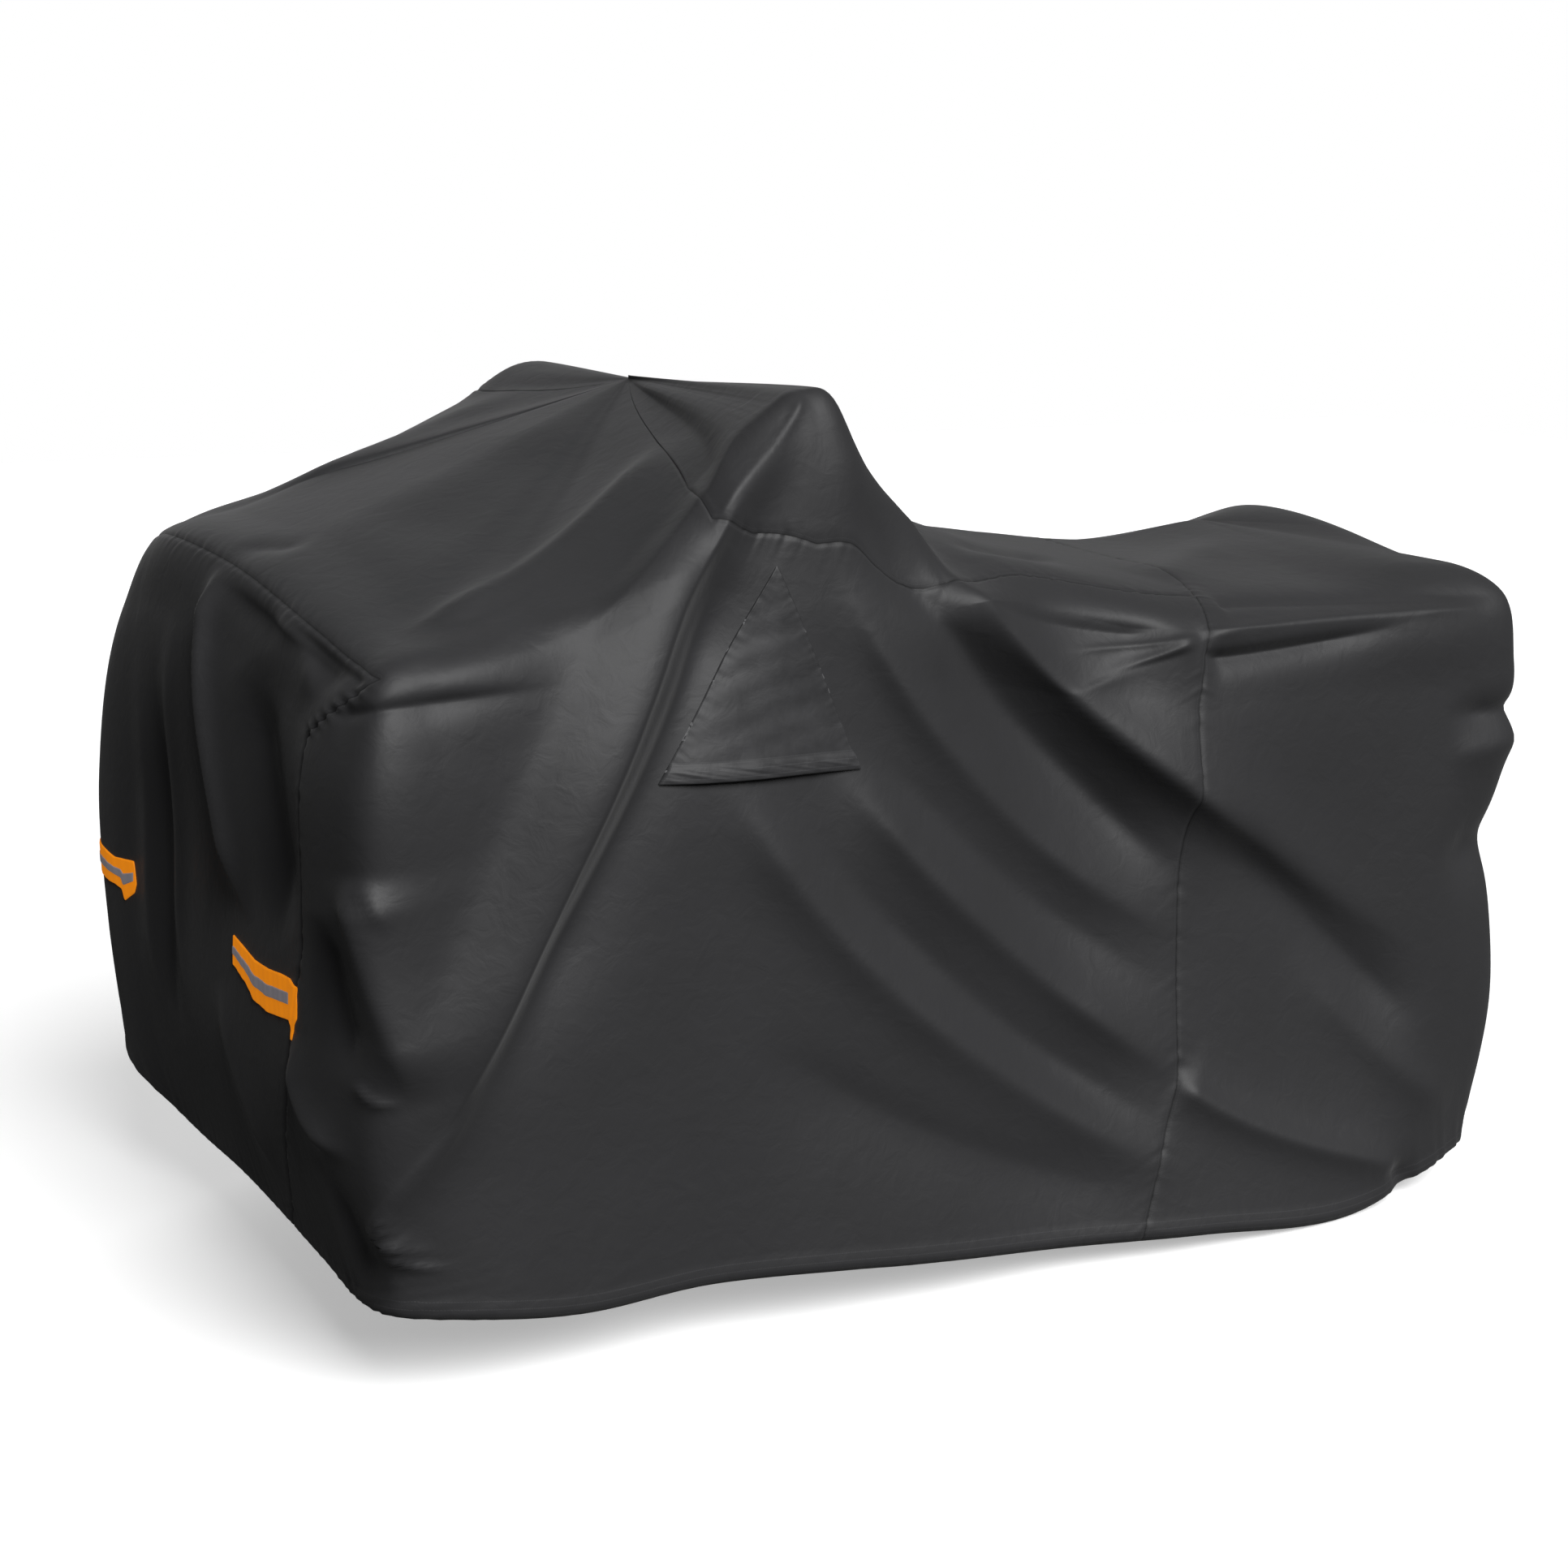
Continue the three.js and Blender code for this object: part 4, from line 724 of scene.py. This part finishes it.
def coated_polyester(name, patch, dark, light, worn):
    """Woven polyester, dyed charcoal and coated on the back: a fine weave that scatters light broadly, with a
    dull sheen where it is seen edge-on, uneven dye, painted shade in the groove along its seams with
    lockstitches beside them, and pale threads where its cut edges are worn."""
    made, tree, shader = start_material(name)
    weave = node(tree, "Attribute", output="Vector", attribute_name="weave")
    seam = node(tree, "Attribute", output="Fac", attribute_name="seam")
    run = node(tree, "Attribute", output="Fac", attribute_name="run")
    hem = node(tree, "Attribute", output="Fac", attribute_name="hem")
    place = node(tree, "TexCoord", output="Object")

    def stitch_row(distance, offset, along):
        """Mask of one row of stitches at an offset: near the row, and in a stitch's part of the pitch."""
        near = node(tree, "Math", {0: distance, 1: offset, 2: STITCH_HALF_WIDTH}, operation="COMPARE")
        beat = node(tree, "Math", {0: along, 1: STITCH_PITCH}, operation="FLOORED_MODULO")
        stitch = node(tree, "Math", {0: beat, 1: STITCH_LENGTH}, operation="LESS_THAN")
        return node(tree, "Math", {0: near, 1: stitch}, operation="MULTIPLY")

    def fading(distance, reach):
        """1 on an edge or seam, falling evenly to 0 at its reach."""
        return node(tree, "MapRange", {"Value": distance, "From Max": reach, "To Min": 1.0, "To Max": 0.0})

    around = node(tree, "SeparateXYZ", {0: weave}, output="X")
    rows = node(tree, "Math", {0: stitch_row(seam, SEAM_STITCHES, run), 1: SEAM_FAINT}, operation="MULTIPLY")
    for offset in HEM_STITCHES:
        rows = node(tree, "Math", {0: rows, 1: stitch_row(hem, offset, around)}, operation="MAXIMUM")

    patches = {"Vector": place, "Scale": per_metre(WORN_AND_SHADE_PATCH), "Detail": 2.0}
    patches = node(tree, "TexNoise", patches, output="Fac")
    # painted shade: the seams' grooves are darkened, unevenly along them
    painted_groove_shade = node(tree, "Math", {0: patches, 1: GROOVE_SHADE_LEAST}, operation="ADD")
    painted_groove_shade = node(tree, "Math", {0: fading(seam, GROOVE_SHADE_REACH), 1: painted_groove_shade}, operation="MULTIPLY")
    tufts = {"Vector": place, "Scale": per_metre(FRAYED_TUFT), "Detail": 3.0}
    tufts = node(tree, "TexNoise", tufts, output="Fac")
    frayed = node(tree, "Math", {0: patches, 1: WORN_OVER}, operation="GREATER_THAN")
    frayed = node(tree, "Math", {0: frayed, 1: tufts}, operation="MULTIPLY")
    frayed = node(tree, "Math", {0: frayed, 1: fading(seam, FRAYED_EDGE)}, operation="MULTIPLY")

    dye = {"Vector": place, "Scale": per_metre(patch), "Detail": 4.0, "Roughness": 0.6}
    dye = node(tree, "TexNoise", dye, output="Fac")
    tint = node(tree, "MixRGB", {0: dye, 1: linear(dark), 2: linear(light)})
    shown = node(tree, "Math", {0: rows, 1: THREAD_SHARE}, operation="MULTIPLY")
    tint = node(tree, "MixRGB", {0: shown, 1: tint, 2: linear(THREAD)})
    # painted shade mixed into the seams' grooves
    tint = node(tree, "MixRGB", {0: painted_groove_shade, 1: tint, 2: linear(GROOVE_SHADE)})
    shown = node(tree, "Math", {0: frayed, 1: worn}, operation="MULTIPLY")
    tint = node(tree, "MixRGB", {0: shown, 1: tint, 2: linear(WORN_THREAD)})

    threads = {"Vector": weave, "Scale": band_scale(THREAD_PITCH), "Distortion": 0.4}
    warp = node(tree, "TexWave", threads, output="Fac", bands_direction="X")
    weft = node(tree, "TexWave", threads, output="Fac", bands_direction="Y")
    height = node(tree, "Math", {0: warp, 1: weft}, operation="ADD")
    height = node(tree, "Math", {0: height, 1: WEAVE_RISE}, operation="MULTIPLY")
    stitched = node(tree, "Math", {0: rows, 1: THREAD_RISE}, operation="MULTIPLY")
    height = node(tree, "Math", {0: height, 1: stitched}, operation="ADD")
    fine = node(tree, "Bump", {"Height": height, "Strength": 0.35, "Distance": 0.0012})
    crumple = {"Vector": place, "Scale": per_metre(CRUMPLE), "Detail": 3.0, "Distortion": 0.6}
    crumple = node(tree, "TexNoise", {**crumple, "Roughness": 0.5}, output="Fac")
    soft = node(tree, "Bump", {"Height": crumple, "Strength": 0.22, "Distance": 0.006, "Normal": fine})
    tree.links.new(tint, shader.inputs["Base Color"])
    tree.links.new(soft, shader.inputs["Normal"])
    shader.inputs["Roughness"].default_value = 0.52
    shader.inputs["IOR"].default_value = 1.5
    shader.inputs["Specular IOR Level"].default_value = 0.38
    shader.inputs["Sheen Weight"].default_value = 0.1
    shader.inputs["Sheen Roughness"].default_value = 0.45
    return made


def hi_vis_band():
    """Fluorescent orange polyester webbing, woven and matt: a strong flat colour with a faint rib, and a
    painted glow of its own that keeps it bright in shade.
    """
    made, tree, shader = start_material("hi_vis_band")
    place = node(tree, "TexCoord", output="Object")
    ribs = {"Vector": place, "Scale": band_scale(BAND_RIB / 1000)}
    ribs = node(tree, "TexWave", ribs, output="Fac", bands_direction="Z")
    ribbed = node(tree, "Bump", {"Height": ribs, "Strength": 0.2, "Distance": 0.0004})
    tree.links.new(ribbed, shader.inputs["Normal"])
    shader.inputs["Base Color"].default_value = linear(ORANGE)
    shader.inputs["Roughness"].default_value = 0.6
    # painted light: the band glows orange by itself, so it stays bright in shade
    shader.inputs["Emission Color"].default_value = linear(ORANGE)
    shader.inputs["Emission Strength"].default_value = 0.5
    return made


def bead_tape():
    """Silver retroreflective tape of glass beads in resin: satin grey with a fine grain, and a painted grey
    glow of its own that keeps it bright.
    """
    made, tree, shader = start_material("bead_tape")
    place = node(tree, "TexCoord", output="Object")
    beads = {"Vector": place, "Scale": per_metre(BEAD), "Detail": 1.0}
    beads = node(tree, "TexNoise", beads, output="Fac")
    grained = node(tree, "Bump", {"Height": beads, "Strength": 0.15, "Distance": 0.0003})
    tree.links.new(grained, shader.inputs["Normal"])
    shader.inputs["Base Color"].default_value = linear(TAPE_GREY)
    shader.inputs["Roughness"].default_value = 0.42
    # painted light: the tape glows grey by itself
    shader.inputs["Emission Color"].default_value = linear(TAPE_GREY)
    shader.inputs["Emission Strength"].default_value = 0.26
    return made


cloth = coated_polyester("coated_polyester", PANEL_PATCH, CLOTH_DARK, CLOTH_LIGHT, 0.0)
flap_cloth = coated_polyester("worn_coated_polyester", FLAP_PATCH, FLAP_DARK, FLAP_LIGHT, 0.8)
band_cloth = hi_vis_band()
tape_cloth = bead_tape()

# The four panels. Cells from the hem to the shoulder, on to the top seam, and on to the spine
WALL_CELLS = 160
EDGE_CELLS = 52
TOP_CELLS = 60
HEM_CROWDING = 0.25
LOW_SEAM = 4.63  # level of the top seam at its rear ends
# Runs of lines from key to key, with their cells
NEAR = run_lines(("front_near", "front_fold", 90), ("front_fold", "grip", 60), ("grip", "rear_near", 130))
FAR = run_lines(("rear_far", "far_grip", 80), ("far_grip", "front_far", 50))
FRONT = run_lines(("front_far", "front_near", 170))
TAIL = run_lines(
    ("rear_near", "spine_end", 80),
    ("spine_end", "tail", 90),
    ("tail", "far_spine_end", 50),
    ("far_spine_end", "rear_far", 40),
)


def wall_rows(lines):
    """Rows from the hem to the shoulder, closer together in the hem band."""
    share = np.linspace(0, 1, WALL_CELLS + 1)
    levels = SHOULDER * ((1 - HEM_CROWDING) * share + HEM_CROWDING * share**2)
    return np.repeat(levels[None], len(lines), 0)


def join_rows(*parts):
    """Row blocks one above another, each starting where the one below ends."""
    return np.concatenate([part[:, :-1] for part in parts[:-1]] + [parts[-1]], 1)


def at_level(lines, level):
    """One level for every line."""
    return np.full((len(lines), 1), float(level))


def body_block(lines):
    """The body panel's rows on its lines: the wall, and from the shoulder to the top seam."""
    edge = rows_between(at_level(lines, SHOULDER), top_seam_on(lines), EDGE_CELLS)
    return lines, join_rows(wall_rows(lines), edge)


def top_block(lines):
    """The top panel's rows on its lines, from the top seam to the spine."""
    return lines, rows_between(top_seam_on(lines), at_level(lines, TOP), TOP_CELLS)


# Panels that meet have the same rows along their border
front_panel = panel("front_panel_cloth", [(FRONT, wall_rows(FRONT))], cloth)
hood_rows = rows_between(at_level(FRONT, SHOULDER), at_level(FRONT, TOP), EDGE_CELLS)
body_panel = panel("body_panel_cloth", [body_block(NEAR), body_block(FAR), (FRONT, hood_rows)], cloth)
top_panel = panel("top_panel_cloth", [top_block(NEAR), top_block(FAR)], cloth)
tail_edge = rows_between(at_level(TAIL, SHOULDER), at_level(TAIL, LOW_SEAM), EDGE_CELLS)
tail_top = rows_between(at_level(TAIL, LOW_SEAM), at_level(TAIL, TOP), TOP_CELLS)
rear_panel = panel("rear_panel_cloth", [(TAIL, join_rows(wall_rows(TAIL), tail_edge, tail_top))], cloth)

# Pieces that lie on the panels
LAY_GAP = 0.4
SHEET = 2.0
BAND_THICK = 1.2
TAPE_THICK = 0.8
EDGE_ROUND = 2.5
EDGE_SINK = 0.6  # an edge runs this far into the panel
SOLVE_STEPS = 9
SOLVE_S, SOLVE_LEVEL = 4.0, 0.02  # small differences
MOST_S, MOST_LEVEL = 60.0, 0.4  # longest step
LEAST_DET = 1.0
LEVEL_FROM, LEVEL_TO = 0.05, 5.9


def level_direction(faces):
    """The level direction that runs to the right of a wall seen from outside, faces in degrees."""
    turn = math.radians(faces)
    return np.array((math.sin(turn), -math.cos(turn), 0.0))


def places_at(across, height, middle, faces, start):
    """s and level where the cloth passes through given places: across a wall from its middle, and a height.
    Newton's steps from a start, with slopes from small differences of the smooth folded cloth."""
    run = level_direction(faces)
    s = np.full(across.shape, start[0], float) + across
    level = np.full(across.shape, start[1], float)
    wanted = np.stack([across + np.dot(middle, run), height + middle[2]], -1)

    def seen(s, level):
        p = cloth_points(s, level, 0.0, False)[0] * 1000 + ORIGIN
        return np.stack([p @ run, p[..., 2]], -1)

    for _ in range(SOLVE_STEPS):
        here = seen(s, level)
        by_s = (seen(s + SOLVE_S, level) - here) / SOLVE_S
        by_level = (seen(s, level + SOLVE_LEVEL) - here) / SOLVE_LEVEL
        miss = wanted - here
        det = by_s[..., 0] * by_level[..., 1] - by_s[..., 1] * by_level[..., 0]
        det = np.where(np.abs(det) < LEAST_DET, np.copysign(LEAST_DET, det), det)
        step_s = (miss[..., 0] * by_level[..., 1] - miss[..., 1] * by_level[..., 0]) / det
        step_level = (by_s[..., 0] * miss[..., 1] - by_s[..., 1] * miss[..., 0]) / det
        s = s + np.clip(step_s, -MOST_S, MOST_S)
        level = np.clip(level + np.clip(step_level, -MOST_LEVEL, MOST_LEVEL), LEVEL_FROM, LEVEL_TO)
    return s, level


def edge_distance(across, height):
    """Distance of each grid place to the nearest of the grid's four edges."""
    first = np.hypot(across - across[:1], height - height[:1])
    last = np.hypot(across - across[-1:], height - height[-1:])
    under = np.hypot(across - across[:, :1], height - height[:, :1])
    over = np.hypot(across - across[:, -1:], height - height[:, -1:])
    return np.minimum(np.minimum(first, last), np.minimum(under, over))


def laid_piece(name, across, height, middle, faces, start, raise_mm, facts, material):
    """A piece that lies on a panel: the cloth under a grid of places, raised, and rounded down at its edges
    as a quarter of a circle."""
    s, level = places_at(across, height, middle, faces, start)
    edge = edge_distance(across, height)
    drop = np.sqrt(np.clip(1 - (1 - np.clip(edge / EDGE_ROUND, 0, 1)) ** 2, 0, 1))
    points = cloth_points(s, level, raise_mm * drop - EDGE_SINK * (1 - drop))[0]
    kept = {key: value.ravel() for key, value in facts.items()}
    return add_mesh(name, points.reshape(-1, 3), grid_quads(*across.shape), kept, material)


# Vent flap on the near side, in millimetres from its middle: apex, left and right foot
VENT_MIDDLE = np.array((-462.0, -610.0, 1100.0))
VENT_APEX = np.array((30.0, 178.0))
VENT_LEFT = np.array((-208.0, -158.0))
VENT_RIGHT = np.array((174.0, -166.0))
VENT_START = (-462.0, 3.6)  # s and level near its middle
VENT_GRID = (121, 141)
VENT_WIDTH = 380.0
VENT_ROWS = 0.8  # power that crowds rows towards the base
VENT_TIP = 0.004  # share of the height at which the apex is cut
VENT_HEM = 30.0
VENT_STAND, STAND_HEIGHT, STAND_FULLNESS = 9.0, 110.0, 0.7
BAND_BULGE, BULGE_FULLNESS = 3.2, 0.5
VENT_PUCKER, VENT_PUCKER_REACH, VENT_PUCKER_SLANT = 1.2, 12.0, 0.4
BAND_PUCKER, BAND_PUCKER_RUN, BAND_PUCKER_SLANT = 0.9, 1 / 3, 1.8
VENT_CRUMPLE, CALM_EDGE = 0.9, 30.0
VENT_WAVES = ((13.0, 0.0, 0.7), (23.0, 1.9, 0.9), (41.0, 4.0, 1.0))
# Weight; then, for each of two crossing sines, its lengths across and up for one radian, and its phase
CRUMPLES = ((1.0, 31, 43, 0.0, -57, 27, 1.3), (0.7, 13, -19, 0.0, 23, 11, 0.0))


def crumpled(across, height):
    """Weighted sum of crumples, each a product of two sines that cross at a slant."""
    total = 0 * across
    for weight, across_a, up_a, phase_a, across_b, up_b, phase_b in CRUMPLES:
        first = np.sin(across / across_a + height / up_a + phase_a)
        total = total + weight * first * np.sin(across / across_b + height / up_b + phase_b)
    return total


def vent_flap():
    """The triangle from its apex to its base. It stands off the wall towards its base, where a folded band
    bulges as a full half sine, its edges pucker between the stitches, and its middle is lightly crumpled."""
    a = np.linspace(0, 1, VENT_GRID[0])[:, None]
    b = VENT_TIP + (1 - VENT_TIP) * np.linspace(0, 1, VENT_GRID[1])[None] ** VENT_ROWS
    left = VENT_APEX + (VENT_LEFT - VENT_APEX) * b[..., None]
    right = VENT_APEX + (VENT_RIGHT - VENT_APEX) * b[..., None]
    flat = left + (right - left) * a[..., None]
    across, height = flat[..., 0], flat[..., 1]
    over_base = height - VENT_LEFT[1] - (VENT_RIGHT[1] - VENT_LEFT[1]) * a
    side = np.minimum(a, 1 - a) * VENT_WIDTH * b
    stand = smooth(1 - over_base / STAND_HEIGHT) * np.sin(np.pi * a) ** STAND_FULLNESS
    in_band = np.sin(np.pi * np.clip(over_base / VENT_HEM, 0, 1))
    bulge = in_band**BULGE_FULLNESS * (over_base < VENT_HEM)
    pucker = np.exp(-side / VENT_PUCKER_REACH) * waves(height, VENT_PUCKER_SLANT * side, VENT_WAVES)
    band_pucker = in_band * waves(BAND_PUCKER_RUN * across, BAND_PUCKER_SLANT * over_base, VENT_WAVES)
    crumple = crumpled(across, height) * np.clip(side / CALM_EDGE, 0, 1)
    lift = LAY_GAP + SHEET + VENT_STAND * stand + BAND_BULGE * bulge
    lift = lift + VENT_PUCKER * pucker + BAND_PUCKER * band_pucker + VENT_CRUMPLE * crumple
    facts = {"seam": side, "hem": over_base, "run": height}
    place = (across, height, VENT_MIDDLE, 90, VENT_START)
    return laid_piece("vent_flap_cloth", *place, lift, facts, flap_cloth)


# Bands, in millimetres from their middle: place across, and height of the upper or lower edge
NEAR_BAND_MIDDLE = np.array((-1205.0, -290.0, 620.0))
NEAR_UPPER = ((-156, 26), (-93, 17), (-46, 10), (19, 12), (77, 19), (119, 22), (153, 16), (161, -14))
NEAR_LOWER = (
    (-156, -26),
    (-93, -40),
    (-46, -60),
    (19, -62),
    (77, -54),
    (119, -48),
    (136, -79),
    (144, -50),
    (161, -33),
)
NEAR_TAPE_END = 119
NEAR_START = (-1470.0, 1.6)
FAR_BAND_MIDDLE = np.array((-1215.0, 470.0, 640.0))
FAR_UPPER = ((-150, 28), (-80, 26), (-7, 22), (32, 15), (50, 17), (84, 20), (91, -21))
FAR_LOWER = ((-150, -30), (-80, -34), (-7, -37), (32, -38), (50, -43), (56, -62), (84, -40), (91, -22))
FAR_TAPE_END = 86
FAR_START = (4740.0, 1.4)
TAPE_FROM = 0.34  # shares of the band's width
TAPE_TO = 0.64
BAND_GRID = (121, 33)
TAPE_GRID = (111, 15)
BAND_STAND = 0.5
TAPE_STAND = 0.7
RIPPLES = ((61.0, 0.45, 0.0), (23.0, 0.25, 0.05))  # length, rise, slant


def band_grid(upper, lower, first, last, top_share, low_share, grid):
    """Places of a band between its upper and lower edge, both straight between their rows."""
    across = np.linspace(first, last, grid[0])
    top = np.interp(across, *np.array(upper, float).T)
    low = np.interp(across, *np.array(lower, float).T)
    share = np.linspace(low_share, top_share, grid[1])
    height = top[:, None] + (low - top)[:, None] * share
    return across[:, None] + 0 * height, height


def ripple(across, height):
    """A band's small ripples: a sum of sines along it, each at its slant."""
    return sum(rise * np.sin(2 * np.pi * across / length + slant * height) for length, rise, slant in RIPPLES)


def reflective_band(name, middle, faces, start, upper, lower, tape_end):
    """An orange band and the grey tape sewn along its middle, dipping with the panel's folds."""
    first = upper[0][0]
    across, height = band_grid(upper, lower, first, upper[-1][0], 0.0, 1.0, BAND_GRID)
    lift = LAY_GAP + BAND_THICK + BAND_STAND + ripple(across, height)
    band = laid_piece(name + "_cloth", across, height, middle, faces, start, lift, {}, band_cloth)
    across, height = band_grid(upper, lower, first + 1, tape_end - 1, TAPE_FROM, TAPE_TO, TAPE_GRID)
    lift = 2 * LAY_GAP + BAND_THICK + TAPE_THICK + TAPE_STAND + ripple(across, height)
    tape = laid_piece(name + "_tape_film", across, height, middle, faces, start, lift, {}, tape_cloth)
    return band, tape


flap = vent_flap()
near_band, near_tape = reflective_band(
    "strip_near", NEAR_BAND_MIDDLE, 0, NEAR_START, NEAR_UPPER, NEAR_LOWER, NEAR_TAPE_END
)
far_band, far_tape = reflective_band(
    "strip_far", FAR_BAND_MIDDLE, 330, FAR_START, FAR_UPPER, FAR_LOWER, FAR_TAPE_END
)


# Flat cut of each piece, as width and length in metres
CUTS = {
    "vent_flap": (flap, (0.382, 0.36)),
    "strip_near": (near_band, (0.317, 0.09)),
    "strip_near_tape": (near_tape, (0.28, 0.025)),
    "strip_far": (far_band, (0.25, 0.08)),
    "strip_far_tape": (far_tape, (0.24, 0.025)),
    "front_panel": (front_panel, (1.25, 1.15)),
    "body_panel": (body_panel, (3.6, 1.75)),
    "top_panel": (top_panel, (1.1, 1.5)),
    "rear_panel": (rear_panel, (2.6, 1.95)),
}
for node_name, (made, flat) in CUTS.items():
    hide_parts(node_name)
    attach(made, "root")

# Camera at the photo's angle: its place in metres, its axes, and its focal length in the photo's pixels
EYE = np.array((-2.666, -4.406, 1.873)) - ORIGIN / 1000
FORWARD = (0.4961, 0.8422, -0.2113)
RIGHT = (0.8634, -0.5043, 0.0171)
UP = (0.0922, 0.1909, 0.9773)
SENSOR = 36.0
FOCAL_PIXELS = 3400.0
FRAME_PIXELS = 1932.0

camera = bpy.data.objects.new("camera", bpy.data.cameras.new("camera"))
bpy.context.scene.collection.objects.link(camera)
bpy.context.scene.camera = camera
camera.data.sensor_width = SENSOR
camera.data.lens = SENSOR * FOCAL_PIXELS / FRAME_PIXELS
camera.matrix_world = Matrix([(RIGHT[k], UP[k], -FORWARD[k], EYE[k]) for k in range(3)] + [(0, 0, 0, 1)])

# A plain pale floor, lit a little by itself so that it runs into the white round it
FLOOR_HALF = 14.0
floor_mesh = bpy.data.meshes.new("floor")
corners = [(FLOOR_HALF * x, FLOOR_HALF * y, 0) for x, y in ((-1, -1), (1, -1), (1, 1), (-1, 1))]
floor_mesh.from_pydata(corners, [], [(0, 1, 2, 3)])
floor = bpy.data.objects.new("floor", floor_mesh)
bpy.context.scene.collection.objects.link(floor)
floor_finish, _, floor_shader = start_material("pale_floor")
floor_shader.inputs["Base Color"].default_value = linear(FLOOR_WHITE)
floor_shader.inputs["Roughness"].default_value = 0.9
floor_shader.inputs["Emission Color"].default_value = (1, 1, 1, 1)
floor_shader.inputs["Emission Strength"].default_value = 0.42
floor_mesh.materials.append(floor_finish)
floor.visible_diffuse = False
floor.visible_glossy = False


SOFTBOX_ANGLE = 40


def far_softbox(name, energy, tilt, turn):
    """A large softbox far away: a sun lamp with a wide angle, tilted from straight down, then turned."""
    light = bpy.data.lights.new(name, "SUN")
    light.energy, light.angle = energy, math.radians(SOFTBOX_ANGLE)
    made = bpy.data.objects.new(name, light)
    bpy.context.scene.collection.objects.link(made)
    made.rotation_euler = (math.radians(tilt), 0, math.radians(turn))
    return made


far_softbox("near_softbox", 3.2, 47, 5)
back_softbox = far_softbox("back_softbox", 2.0, 72, 160)
back_softbox.visible_glossy = False

# White round the scene as the camera sees it, and a dim fill as the cloth does
world = bpy.data.worlds.new("studio")
bpy.context.scene.world = world
world.use_nodes = True
background = world.node_tree.nodes["Background"]
background.inputs["Color"].default_value = (1, 1, 1, 1)
camera_ray = node(world.node_tree, "LightPath", output="Is Camera Ray")
strength = node(world.node_tree, "MapRange", {"Value": camera_ray, "To Min": 0.05, "To Max": 1.0})
world.node_tree.links.new(strength, background.inputs["Strength"])
bpy.context.scene.view_settings.view_transform = "Standard"
